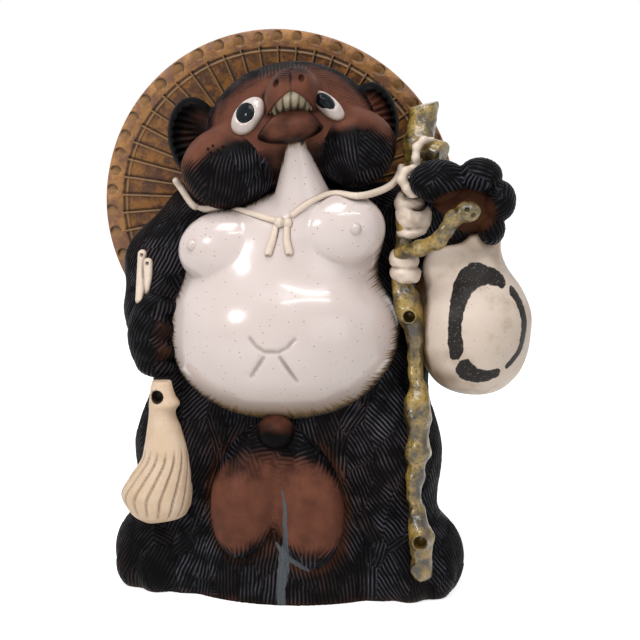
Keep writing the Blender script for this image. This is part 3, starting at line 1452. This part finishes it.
points, quads, normals = skin(pad_shell, (-96, -132, 134), (96, -10, 384), GLAZE_CELL)
fur_gap = fur(points)
face_gap = head_form(points)
middle = points - vec(0, 0, 222)
piece = make_piece("belly", points, quads, WHITE_GLAZE, {
    "edge": np.minimum(fur_gap, 2.5 * face_gap + 1.5) * fade(0.8, 0.45, normals[:, 1]),
    "around": np.arctan2(middle[:, 2], middle[:, 0]) * 85,
    "stain": (
        0.85 * fade(190, 146, points[:, 2]) + 0.35 * fade(26, 0, points[:, 2] - 146) * fade(18, 0, fur_gap)
        + 0.35 * fade(9, 0, np.minimum(fur_gap, face_gap))
    ),
    "crease": fade(1.3, 0.0, navel(points)),
})
declare(piece, "white_glaze", "belly")

studs = first_touch(pad_plain, ((60, 303), (-68, 287)))


def chest_studs(p):
    left = ball(p, studs[0] + vec(0, 1, 0), (5, 4.5, 5))
    return np.minimum(left, ball(p, studs[1] + vec(0, 1.5, 0), (5, 4, 5)))


points, quads, _ = skin(chest_studs, (-78, -130, 278), (70, -70, 312), FINE_CELL)
piece = make_piece("chest_studs", points, quads, WHITE_GLAZE, {
    "edge": 20 + 0 * points[:, 0],
    "around": 0 * points[:, 0],
    "stain": 0.12 + 0 * points[:, 0],
    "crease": 0 * points[:, 0],
})
declare(piece, "white_glaze", "chest_studs")

# Build the pouch

for name, side in (("left_pouch", 1), ("right_pouch", -1)):
    def lobe(p):
        share = pouch(p, side) - pouch(p, -side)
        near = np.maximum(share - 2.0, np.minimum(pouch(p, side), pouch_top(p)) - 6)
        return np.maximum(np.maximum(pouches(p), near), -(fur(p) + 7))

    points, quads, normals = skin(lobe, (-66, -116, 26), (68, -50, 148), POUCH_CELL)
    rim = fade(14, 1, fur(points))
    low = fade(66, 38, points[:, 2])
    tone = 1.0 - 0.6 * rim - 0.5 * low - 0.8 * fade(76, 142, points[:, 2]) - 0.18 * lumps(points, 30, 4)
    piece = make_piece(name, points, quads, BROWN_CLAY, {
        "flow": along_skin((points - vec(side * 25, -60, 110)) * vec(1, 1, 0.8) / 40, normals),
        "comb": np.clip(0.9 * rim + 0.8 * low + 0.4 * fade(98, 122, points[:, 2]), 0, 1),
        "tone": tone,
        "filler": -crack(points),
    })
    piece = combed(piece, (1, 1, 0.6), 31 + side, BROWN_CLAY, pitch=3.6, spacing=12.0, tooth=0.2, stroke=0.2)
    declare(piece, "brown_clay", name)

points, quads, _ = skin(knob, (-22, -116, 122), (18, -78, 160), FINE_CELL)
piece = make_piece("pouch_knob", points, quads, BROWN_CLAY, {
    "tone": 0.05 + 0.62 * fade(136, 156, points[:, 2]),
    "comb": 0 * points[:, 0],
    "stroke": 0 * points[:, 0],
    "comb_v": 0 * points[:, 0],
})
declare(piece, "brown_clay", "pouch_knob")

# Build the head

FACE_BOXES = {
    "head": ((-72, -82, 300), (72, 48, 436)),
    "snout": ((-40, -124, 352), (44, -50, 436)),
    "lower_jaw": ((-30, -116, 356), (40, -50, 408)),
    "left_cheek": ((-6, -104, 296), (98, -10, 400)),
    "right_cheek": ((-98, -104, 296), (12, -10, 400)),
    "left_ear": ((36, -42, 336), (102, 16, 424)),
    "right_ear": ((-112, -52, 318), (-40, 8, 412)),
}

for number, (name, (low, high)) in enumerate(FACE_BOXES.items()):
    form = face_piece_form(name)
    points, quads, normals = skin(form, low, high, FACE_CELL)
    q = in_head(points)
    r = np.hypot(q[:, 0] / 70, (q[:, 2] - 2) / 52)
    seen = fade(20, -25, q[:, 1])
    comb = 0.7 * fade(0.62, 0.85, r)
    tone = (1.0 - 0.95 * fade(0.74, 1.02, r) + 0.2 * lumps(q, 26, 3)) * seen
    tone = tone - 0.6 * np.exp(-((snout(q) - skull(q)) / 2.4) ** 2) * fade(-34, -46, q[:, 1])
    # Below the jaw the slip is left on
    tone = tone * (0.25 + 0.75 * fade(-16, 2, q[:, 2]))
    heading = np.stack((q[:, 0], 0.4 * q[:, 1], q[:, 2] - 10), -1) @ HEAD_AXES.T
    if name == "snout":
        tone = 1.0 - 0.65 * fade(36, 52, q[:, 2]) - 0.5 * fade(-62, -46, q[:, 1]) * fade(40, 48, q[:, 2])
        tone = tone - 0.5 * fade(0.6, -0.4, nose_marks(muzzle(q)))
        comb = 0.6 * fade(44, 50, q[:, 2])
    elif name == "lower_jaw":
        tone = 0.64 - 0.3 * fade(8, -3, q[:, 2]) - 0.35 * fade(12, 24, np.abs(muzzle(q)[:, 0]))
        comb = 0 * tone
    elif name.endswith("cheek"):
        side = 1 if name.startswith("left") else -1
        pole = vec(side * 36, -56, 16)
        heading = (q - pole) @ HEAD_AXES.T
        black = np.hypot((q[:, 0] - side * 43) / 40, (q[:, 2] + 25) / 29) + 0.12 * lumps(q, 16, 8)
        tone = 0.95 * fade(0.7, 1.25, black) * (0.4 + 0.6 * fade(-24, 2, q[:, 2])) + 0.03
        comb = 1.0 * fade(-2, -12, q[:, 2])
    elif name.endswith("ear"):
        side = 1 if name.startswith("left") else -1
        middle = vec(*EARS[side][0])
        heading = (q - middle) @ HEAD_AXES.T
        inner = fade(25, 11, np.hypot(q[:, 0] - middle[0] + side * 6, 0.8 * (q[:, 2] - middle[2])))
        tone = (0.95 if side > 0 else 0.3) * fade(2, -5, q[:, 1]) * inner
        comb = 0 * tone
    holes = np.min([np.hypot(q[:, 0] - x, q[:, 2] - z) for x, z in WHISKER_HOLES], 0)
    holes = np.where(q[:, 1] < -20, holes, 9)
    points = points - normals * (1.2 * fade(1.5, 0.4, holes))[:, None]
    tone = tone * (1 - fade(1.5, 0.6, holes))
    slot = "black_slip" if name.endswith(("cheek", "ear")) else "brown_clay"
    piece = make_piece(name, points, quads, BROWN_CLAY, {
        "flow": along_skin(heading, normals),
        "comb": comb,
        "tone": tone,
    })
    piece = combed(
        piece,
        (1, 1, 0.45),
        50 + number,
        BROWN_CLAY,
        pitch=2.9,
        spacing=26.0,
        tooth=0.34,
        stroke=0.12,
        scatter=0.05,
    )
    declare(piece, slot, name)


def head_space(form, *given):
    return lambda p: form(in_head(p), *given)


form = head_space(teeth)
points, quads, _ = skin(form, (-34, -116, 366), (44, -66, 418), FINE_CELL)
m = muzzle(in_head(points))
above = m[:, 2] - lower_lip(m)
gap = fade(1.6, 0.3, between_teeth(m)) * (0.45 + 0.5 * fade(6, 1, above))
piece = make_piece(
    "teeth", points, quads, IVORY_GLAZE, {"hollow": np.maximum(gap, 0.7 * fade(2.0, 0.0, above))}
)
declare(piece, "cream_slip", "teeth")

for name, side in (("left", 1), ("right", -1)):
    form = head_space(eye, side)
    spot = HEAD + HEAD_AXES @ EYES[side][0]
    points, quads, _ = skin(form, spot - 22, spot + 22, FINE_CELL)
    face_gap = head_form(points)
    rise = in_head(points)[:, 2] - EYES[side][0][2]
    piece = make_piece(name + "_eye", points, quads, WHITE_GLAZE, {
        "edge": 3.5 + face_gap * 2,
        "around": 0 * points[:, 0],
        "stain": 0.12 + 0.5 * fade(3, 0, face_gap) + 0.2 * fade(6, -8, rise),
        "crease": 0 * points[:, 0],
    })
    declare(piece, "white_glaze", name + "_eye")
    form = head_space(pupil, side)
    points, quads, _ = skin(form, spot - 16, spot + 16, FINE_CELL)
    piece = make_piece(name + "_pupil", points, quads, PUPIL)
    declare(piece, "black_glaze", name + "_pupil")

# Build the paws

for name, form, low, high in (
    ("right_paw", right_paw, (-132, -96, 172), (-76, -38, 250)),
    ("left_paw", left_paw, (92, -88, 280), (190, -24, 364)),
):
    points, quads, normals = skin(form, low, high, FACE_CELL)
    if name == "left_paw":
        palm = np.hypot((points[:, 0] - 142) / 24, (points[:, 2] - 314) / 17)
        tone = 0.95 * fade(1.35, 0.7, palm) * fade(-50, -58, points[:, 1])
        heading = points - vec(142, -40, 318)
    else:
        tone = 0.5 * fade(-78, -88, points[:, 1]) * fade(-110, -90, points[:, 0])
        heading = 0 * points + vec(-0.4, 0, -1)
    piece = make_piece(name, points, quads, BLACK_SLIP, {
        "flow": along_skin(heading, normals),
        "comb": 0.8 - 0.7 * fade(0.2, 0.6, tone),
        "tone": tone,
    })
    piece = combed(
        piece, (0.8, 1, 0.8), 70 + len(name), BLACK_SLIP, pitch=3.4, spacing=13.0, tooth=0.25, stroke=0.2
    )
    declare(piece, "black_slip", name)


# Build what is cream, olive and white


def hollows(form, points, normals, reach=4.0):
    """How far a spot is sunk among what lies round it, from 0 to 1."""
    return np.clip(1 - form(points + reach * normals) / reach, 0, 1)


def simple_piece(name, form, low, high, cell, material, finish, *around):
    points, quads, normals = skin(form, low, high, cell)

    def nearby(p):
        return np.min([form(p)] + [other(p) for other in around], 0)

    inside = fade(5.6, 4.9, rod(points, *PURSE_HOLE, 0, 0)) * fade(-99.5, -97, points[:, 1])
    piece = make_piece(
        name, points, quads, material, {"hollow": hollows(nearby, points, normals), "inside": inside}
    )
    declare(piece, finish, name)


simple_piece(
    "purse", purse, (-136, -116, 56), (-66, -60, 182), FACE_CELL, CREAM_SLIP, "cream_slip", fur, right_paw
)
simple_piece("staff", staff, (80, -114, 18), (132, 0, 406), FACE_CELL, OLIVE, "olive_glaze", fur)
simple_piece("staff_branch", branch, (84, -104, 268), (160, -58, 326), FINE_CELL, OLIVE, "olive_glaze", staff)
simple_piece("staff_stub", stub, (84, -66, 336), (136, -20, 374), FINE_CELL, OLIVE, "olive_glaze", staff)
simple_piece(
    "upper_wrap", upper_wrap, (76, -78, 290), (126, -28, 340), FINE_CELL, CORD_SLIP, "cream_slip", staff
)
simple_piece(
    "lower_wrap", lower_wrap, (76, -80, 248), (114, -42, 282), FINE_CELL, CORD_SLIP, "cream_slip", staff
)
simple_piece("rope_tail", rope_tail, (88, -72, 324), (114, -52, 364), FINE_CELL, CORD_SLIP, "cream_slip")
simple_piece("rope_loop", rope_loop, (100, -64, 342), (124, -42, 380), FINE_CELL, CORD_SLIP, "cream_slip")

points, quads, normals = skin(flask, (88, -94, 152), (206, 10, 298), GLAZE_CELL)
x, y, drop = in_flask(points)


def beside_flask(p):
    return np.minimum(np.minimum(flask(p), left_paw(p)), np.minimum(staff(p), fur(p)))


# A ring brushed on the front, its stroke 4 to 16 mm wide and broken three times; above 0 is inside the stroke
side = (np.arctan2(x, -y) - math.radians(19)) * np.hypot(x, y)
rise = 0.8 * (66 - drop)
turn = np.arctan2(rise, side)
stroke = 5.0 + 1.9 * np.cos(turn - 2.8) + 1.0 * np.cos(3 * turn)
for gap in (-2.4, -1.1, 1.0):
    stroke = stroke - 7 * np.exp(-((turn - gap) / 0.07) ** 2)
brush = stroke - np.abs(np.hypot(side, rise) - FLASK_RING - 1.5 * np.cos(3 * turn))
piece = make_piece("bottle", points, quads, FLASK_GLAZE, {
    "brush": np.clip(np.where(y < 12, brush, -9), -9, 9),
    "hollow": np.maximum(
        hollows(beside_flask, points, normals, 6.0),
        0.8 * fade(74, 114, drop) * fade(16, -26, x) * (0.7 + 0.5 * lumps(points, 12, 6)),
    ),
})
declare(piece, "cream_slip", "bottle")


# Strings of the purse and the chin cord, laid on what is under them


def smooth_line(spots, steps=4):
    """A line through a few spots, with more spots between them."""
    at = np.arange(len(spots))
    where = np.linspace(0, len(spots) - 1, steps * (len(spots) - 1) + 1)
    return np.stack([curve_through(at, spots[:, axis], where) for axis in range(3)], -1)


def arm_and_paw(p):
    return np.minimum(fur(p), right_paw(p))


STRINGS = (((-118, 272), (-118, 256), (-114.5, 240)), ((-112.5, 266), (-111.5, 254), (-112.5, 243)))
string_lines = [first_touch(arm_and_paw, line) for line in STRINGS]


def purse_strings(p):
    form = None
    for line in string_lines:
        strand = chain(p, [(*spot, 4.0 - 0.1 * i) for i, spot in enumerate(smooth_line(line))], 0.3)
        strand = carve(strand, ball(p, line[0] + vec(0, -4.5, 0), (1.4, 2.5, 1.4)), 0.6)
        form = strand if form is None else np.minimum(form, strand)
    return form


simple_piece(
    "purse_strings",
    purse_strings,
    (-128, -100, 226),
    (-94, -20, 286),
    FINE_CELL,
    CORD_SLIP,
    "cream_slip",
    arm_and_paw,
)


def under_cord(p):
    return np.minimum(pad_plain(p), fur(p))


# Each half of the cord lies on the pad first, at these sides and heights, then hangs free
CORDS = {
    "cord_right": (
        ((1, 306.6), (-19, 310.6), (-44, 313), (-69, 308), (-79, 311), (-90, 322), (-95, 329)),
        (),
    ),
    "cord_left": (
        ((11.7, 313), (20.8, 320), (31, 325.4), (43, 327.8)),
        ((59.8, -84, 327), (73, -72, 328.4), (84.5, -58, 333), (90, -48, 340.5), (91, -44, 345.4)),
    ),
}
CORD_RADIUS = 2.8
KNOT = first_touch(under_cord, ((4, 306),))[0]

for name, (laid, free) in CORDS.items():
    spots = np.concatenate((first_touch(under_cord, laid), np.array(free, np.float32).reshape(-1, 3)))
    spots[:, 1] = np.minimum(spots[:, 1], -18)

    def strand(p):
        return chain(p, [(*spot, CORD_RADIUS) for spot in smooth_line(spots)], 0.3)

    low, high = spots.min(0) - 8, spots.max(0) + 8
    simple_piece(name, strand, low, high, FINE_CELL, CORD_SLIP, "cream_slip", under_cord)


def cord_knot(p):
    right = ball(p, KNOT + vec(-3.2, 0, 0.5), (4.2, 4.5, 4.6))
    left = ball(p, KNOT + vec(3.4, 0, 0), (4.4, 4.5, 4.8))
    return blend(right, left, 1.0)


simple_piece("cord_knot", cord_knot, KNOT - 12, KNOT + 12, FINE_CELL, CORD_SLIP, "cream_slip", under_cord)
TAILS = (((-1.9, 302), (-3.4, 295), (-6.8, 283.5)), ((7, 302), (7.3, 293), (9.3, 284.4)))
tail_lines = [first_touch(under_cord, line) for line in TAILS]


def cord_tails(p):
    form = None
    for line in tail_lines:
        strand = chain(p, [(*spot, CORD_RADIUS + 0.08 * i) for i, spot in enumerate(smooth_line(line))], 0.3)
        strand = carve(strand, ball(p, line[-1] + vec(0, -3.5, -2.5), (1.8, 2.8, 1.8)), 0.6)
        form = strand if form is None else np.minimum(form, strand)
    return form


low = np.min(tail_lines, (0, 1)) - 8
high = np.max(tail_lines, (0, 1)) + 8
simple_piece("cord_tails", cord_tails, low, high, FINE_CELL, CORD_SLIP, "cream_slip", under_cord)


# Straw hat: a shallow dish, turned from its centre out over the rim to the back, with a ring and thumb dents

HAT_PLACE = Matrix.Translation(Vector((-17, 32, 303)) * MM) @ Matrix.Rotation(math.radians(3), 4, "X")
HAT_RADIUS = 148.0
HAT_DEPTH = 30.0
HAT_WALL = 8.0
HAT_BAND = 17.0
STRAWS = 54
DENTS = 50
AROUND = 840

front = np.concatenate((np.arange(6, 66, 10), np.arange(66, 126, 2.0), np.arange(126, 147.6, 0.75)))
rim_turns = np.radians((30, 70, 110, 150))
rim = HAT_RADIUS - 0.5 + 0.5 * np.sin(rim_turns)
back = np.concatenate((np.arange(147, 130, -3.0), np.arange(130, 2, -8.0)))
out = np.concatenate((front, rim, back))[:, None]
sign = np.concatenate((-np.ones(len(front)), -np.cos(rim_turns), np.ones(len(back))))[:, None]
angle = np.arange(AROUND)[None, :] * 2 * math.pi / AROUND
inside = HAT_RADIUS - HAT_BAND
sheet = np.stack((np.sin(angle) + 0 * out, np.cos(angle) + 0 * out, out / 60 + 0 * angle), -1).reshape(-1, 3)
uneven = lumps(sheet, 0.45, 21).reshape(len(out), AROUND)
# Where the nearest straw lies, in millimetres to the side
straw_turn = angle * STRAWS / (2 * math.pi)
straw_away = ((straw_turn + 0.5) % 1 - 0.5) * 2 * math.pi / STRAWS * out
beside = fade(1.3, 0.5, np.abs(straw_away - 1.4)) * (out < inside + 3) * (out > 20)
ring_line = fade(1.4, 0.6, np.abs(out - inside - 1.0 - 0.4 * uneven))
ring_rib = fade(1.3, 0.5, np.abs(out - inside + 1.0 - 0.4 * uneven))
# Dents of a thumb: round, pressed deepest on one side, fading out on the other
dent_turn = angle * DENTS / (2 * math.pi) + 0.2 * np.sin(5 * angle)
dent_across = ((dent_turn + 0.5) % 1 - 0.5) * 2 * math.pi / DENTS * out
dent_out = out - (HAT_RADIUS - 5.6 + 0.8 * np.sin(11 * angle))
dent_round = np.hypot(dent_across, dent_out)
dent = fade(4.9, 4.0, dent_round) * (0.1 + 0.9 * fade(-4.0, 3.2, dent_across))
dent_edge = fade(1.1, 0.3, np.abs(dent_round - 4.3)) * fade(-0.5, 2.5, dent_across)
seen = (sign < -0.5).astype(float)
relief = 0.8 * ring_rib - 1.0 * ring_line - 0.8 * beside - 2.4 * dent
level = HAT_DEPTH * (1 - out / HAT_RADIUS) + sign * HAT_WALL / 2 * fade(150, 140, out) ** 0.5 + 0.9 * uneven
level = level - relief * seen
wide = out + 0.8 * uneven * fade(120, 148, out)
points = np.stack((wide * np.sin(angle), level, wide * np.cos(angle)), -1).reshape(-1, 3)
tips = np.array(((0, HAT_DEPTH - HAT_WALL / 2, 0), (0, HAT_DEPTH + HAT_WALL / 2, 0)))
rows = len(out)
here = np.arange(AROUND)
after = (here + 1) % AROUND
starts = AROUND * np.arange(rows)
faces_of_hat = [np.stack((a + here, b + here, b + after, a + after), -1) for a, b in zip(starts, starts[1:])]
faces_of_hat.append(np.stack((rows * AROUND + 0 * here, here, after), -1))
faces_of_hat.append(np.stack((rows * AROUND + 1 + 0 * here, starts[-1] + after, starts[-1] + here), -1))
hat_mesh = bpy.data.meshes.new("hat")
hat_points = np.concatenate((points, tips)) * MM
hat_mesh.from_pydata(hat_points.tolist(), [], sum((part.tolist() for part in faces_of_hat), []))
for title, values in (
    ("line", np.maximum(np.maximum(ring_line, beside), dent_edge) * seen),
    ("raised", ring_rib * seen),
    ("dent", fade(5.0, 4.0, dent_round) * seen),
    ("band", fade(inside, inside + 2, out) + 0 * angle),
):
    values = np.concatenate((values.ravel(), (0, 0)))
    hat_mesh.attributes.new(title, "FLOAT", "POINT").data.foreach_set("value", values)
hat_mesh.shade_smooth()
hat = bpy.data.objects.new("hat_skin", hat_mesh)
bpy.context.collection.objects.link(hat)

# Geometry Nodes: straws of the hat, thin rods laid on the dish all round


def straw_ribs():
    tree = bpy.data.node_groups.new("straw ribs", "GeometryNodeTree")
    sockets = (
        ("Geometry", "NodeSocketGeometry"),
        ("Count", "NodeSocketInt"),
        ("Start", "NodeSocketVector"),
        ("End", "NodeSocketVector"),
        ("Thickness", "NodeSocketFloat"),
        ("Material", "NodeSocketMaterial"),
    )
    for title, kind in sockets:
        tree.interface.new_socket(title, in_out="INPUT", socket_type=kind)
    tree.interface.new_socket("Geometry", in_out="OUTPUT", socket_type="NodeSocketGeometry")
    given = add(tree, "NodeGroupInput").outputs
    line = add(
        tree, "GeometryNodeCurvePrimitiveLine", {"Start": given["Start"], "End": given["End"]}
    ).outputs[0]
    line = add(tree, "GeometryNodeResampleCurve", {"Curve": line, "Count": 8}).outputs[0]
    round_section = add(
        tree, "GeometryNodeCurvePrimitiveCircle", {"Resolution": 8, "Radius": given["Thickness"]}
    ).outputs[0]
    straw = add(
        tree, "GeometryNodeCurveToMesh", {"Curve": line, "Profile Curve": round_section, "Fill Caps": True}
    ).outputs[0]
    straw = add(
        tree,
        "GeometryNodeStoreNamedAttribute",
        {"Geometry": straw, "Name": "raised", "Value": 1.0},
        data_type="FLOAT",
        domain="POINT",
    ).outputs[0]
    centres = add(tree, "GeometryNodePoints", {"Count": given["Count"]}).outputs[0]
    number = add(tree, "GeometryNodeInputIndex").outputs[0]
    share = add(tree, "ShaderNodeMath", {0: number, 1: given["Count"]}, operation="DIVIDE").outputs[0]
    turn = add(tree, "ShaderNodeMath", {0: share, 1: 2 * math.pi}, operation="MULTIPLY").outputs[0]
    turn = add(tree, "ShaderNodeCombineXYZ", {"Y": turn}).outputs[0]
    straws = add(
        tree, "GeometryNodeInstanceOnPoints", {"Points": centres, "Instance": straw, "Rotation": turn}
    ).outputs[0]
    mesh = add(tree, "GeometryNodeJoinGeometry", {"Geometry": straws})
    tree.links.new(given["Geometry"], mesh.inputs[0])
    mesh = add(tree, "GeometryNodeRealizeInstances", {"Geometry": mesh.outputs[0]}).outputs[0]
    mesh = add(tree, "GeometryNodeSetMaterial", {"Geometry": mesh, "Material": given["Material"]}).outputs[0]
    add(tree, "NodeGroupOutput", {"Geometry": mesh})
    return tree


RIBS = straw_ribs()
# The front has thin straws close together, the back half as many and thicker
for count, inner, outer, face, thick in (
    (STRAWS, 40, inside + 3, -1, 0.75),
    (STRAWS // 2, 18, inside, 1, 1.8),
):
    start, end = (
        Vector((0, HAT_DEPTH * (1 - reach / HAT_RADIUS) + face * HAT_WALL / 2, reach)) * MM
        for reach in (inner, outer)
    )
    shaped(
        hat, RIBS, {"Count": count, "Start": start, "End": end, "Thickness": thick * MM, "Material": STRAW}
    )
hat.data.transform(HAT_PLACE)
shell = bmesh.new()
shell.from_mesh(hat.data)
bmesh.ops.recalc_face_normals(shell, faces=shell.faces)
shell.to_mesh(hat.data)
shell.free()
declare(hat, "straw_ochre", "hat")

# Floor, light and camera

PAPER_LIFT = 0.74
SKY_STRENGTH = 0.24

floor_mesh = bpy.data.meshes.new("floor")
floor_mesh.from_pydata([(-6, -6, 0), (6, -6, 0), (6, 6, 0), (-6, 6, 0)], [], [(0, 1, 2, 3)])
floor = bpy.data.objects.new("floor", floor_mesh)
bpy.context.collection.objects.link(floor)
material, tree = start_material("pale paper floor")
where = add(tree, "ShaderNodeTexCoord").outputs["Object"]
grain = add(tree, "ShaderNodeTexNoise", {"Vector": where, "Scale": 30.0})
paper = add(
    tree,
    "ShaderNodeMix",
    {"Factor": grain.outputs["Fac"], 6: linear("#F4F4F2"), 7: linear("#FAFAF8")},
    data_type="RGBA",
).outputs[2]
# The camera and reflections see the paper lifted to white, with the figure's shadow left on it
rays = add(tree, "ShaderNodeLightPath").outputs
lifted = add(
    tree, "ShaderNodeMath", {0: rays["Is Camera Ray"], 1: rays["Is Glossy Ray"]}, operation="MAXIMUM"
).outputs[0]
lifted = add(
    tree, "ShaderNodeMath", {0: lifted, 1: rays["Is Transmission Ray"]}, operation="MAXIMUM"
).outputs[0]
lifted = add(tree, "ShaderNodeMath", {0: lifted, 1: PAPER_LIFT}, operation="MULTIPLY").outputs[0]
finish_material(
    tree, {"Base Color": paper, "Roughness": 0.9, "Emission Color": (1, 1, 1, 1), "Emission Strength": lifted}
)
floor_mesh.materials.append(material)

world = bpy.data.worlds.new("studio")
bpy.context.scene.world = world
world.use_nodes = True
tree = world.node_tree
tree.nodes.clear()
rays = add(tree, "ShaderNodeLightPath").outputs
seen = add(
    tree, "ShaderNodeMath", {0: rays["Is Camera Ray"], 1: rays["Is Glossy Ray"]}, operation="MAXIMUM"
).outputs[0]
seen = add(tree, "ShaderNodeMath", {0: seen, 1: rays["Is Transmission Ray"]}, operation="MAXIMUM").outputs[0]
strength = add(tree, "ShaderNodeMapRange", {"Value": seen, "To Min": SKY_STRENGTH, "To Max": 1.0}).outputs[0]
sky = add(tree, "ShaderNodeBackground", {"Color": (1, 1, 1, 1), "Strength": strength})
add(tree, "ShaderNodeOutputWorld", {"Surface": sky.outputs[0]})


def lamp(name, place, aim, width, height, watts, shape="RECTANGLE"):
    data = bpy.data.lights.new(name, "AREA")
    data.shape = shape
    data.size = width
    data.size_y = height
    data.energy = watts
    piece = bpy.data.objects.new(name, data)
    bpy.context.collection.objects.link(piece)
    piece.location = place
    piece.rotation_euler = (Vector(aim) - Vector(place)).to_track_quat("-Z", "Y").to_euler()


lamp("top", (-0.2, -0.7, 2.0), (0, 0, 0.22), 0.9, 0.9, 19)
lamp("strip", (0.45, -0.9, 1.4), (0, 0, 0.25), 1.1, 0.05, 4)
lamp("round", (-0.95, -1.16, 0.93), (0, 0, 0.22), 0.28, 0.28, 7, "DISK")
lamp("fill", (1.4, -1.6, 0.7), (0, 0, 0.2), 1.2, 1.2, 5)

camera = bpy.data.cameras.new("camera")
camera.lens = CAMERA_LENS
camera.sensor_width = SENSOR_WIDTH
bearing, rise = math.radians(CAMERA_BEARING), math.radians(CAMERA_RISE)
back = vec(math.sin(bearing) * math.cos(rise), -math.cos(bearing) * math.cos(rise), math.sin(rise))
eye_point = bpy.data.objects.new("camera", camera)
bpy.context.collection.objects.link(eye_point)
eye_point.location = Vector((CAMERA_AIM + CAMERA_DISTANCE * back) * MM)
eye_point.rotation_mode = "QUATERNION"
eye_point.rotation_quaternion = Vector(-back).to_track_quat("-Z", "Y")
bpy.context.scene.camera = eye_point
bpy.context.scene.view_settings.view_transform = "Standard"
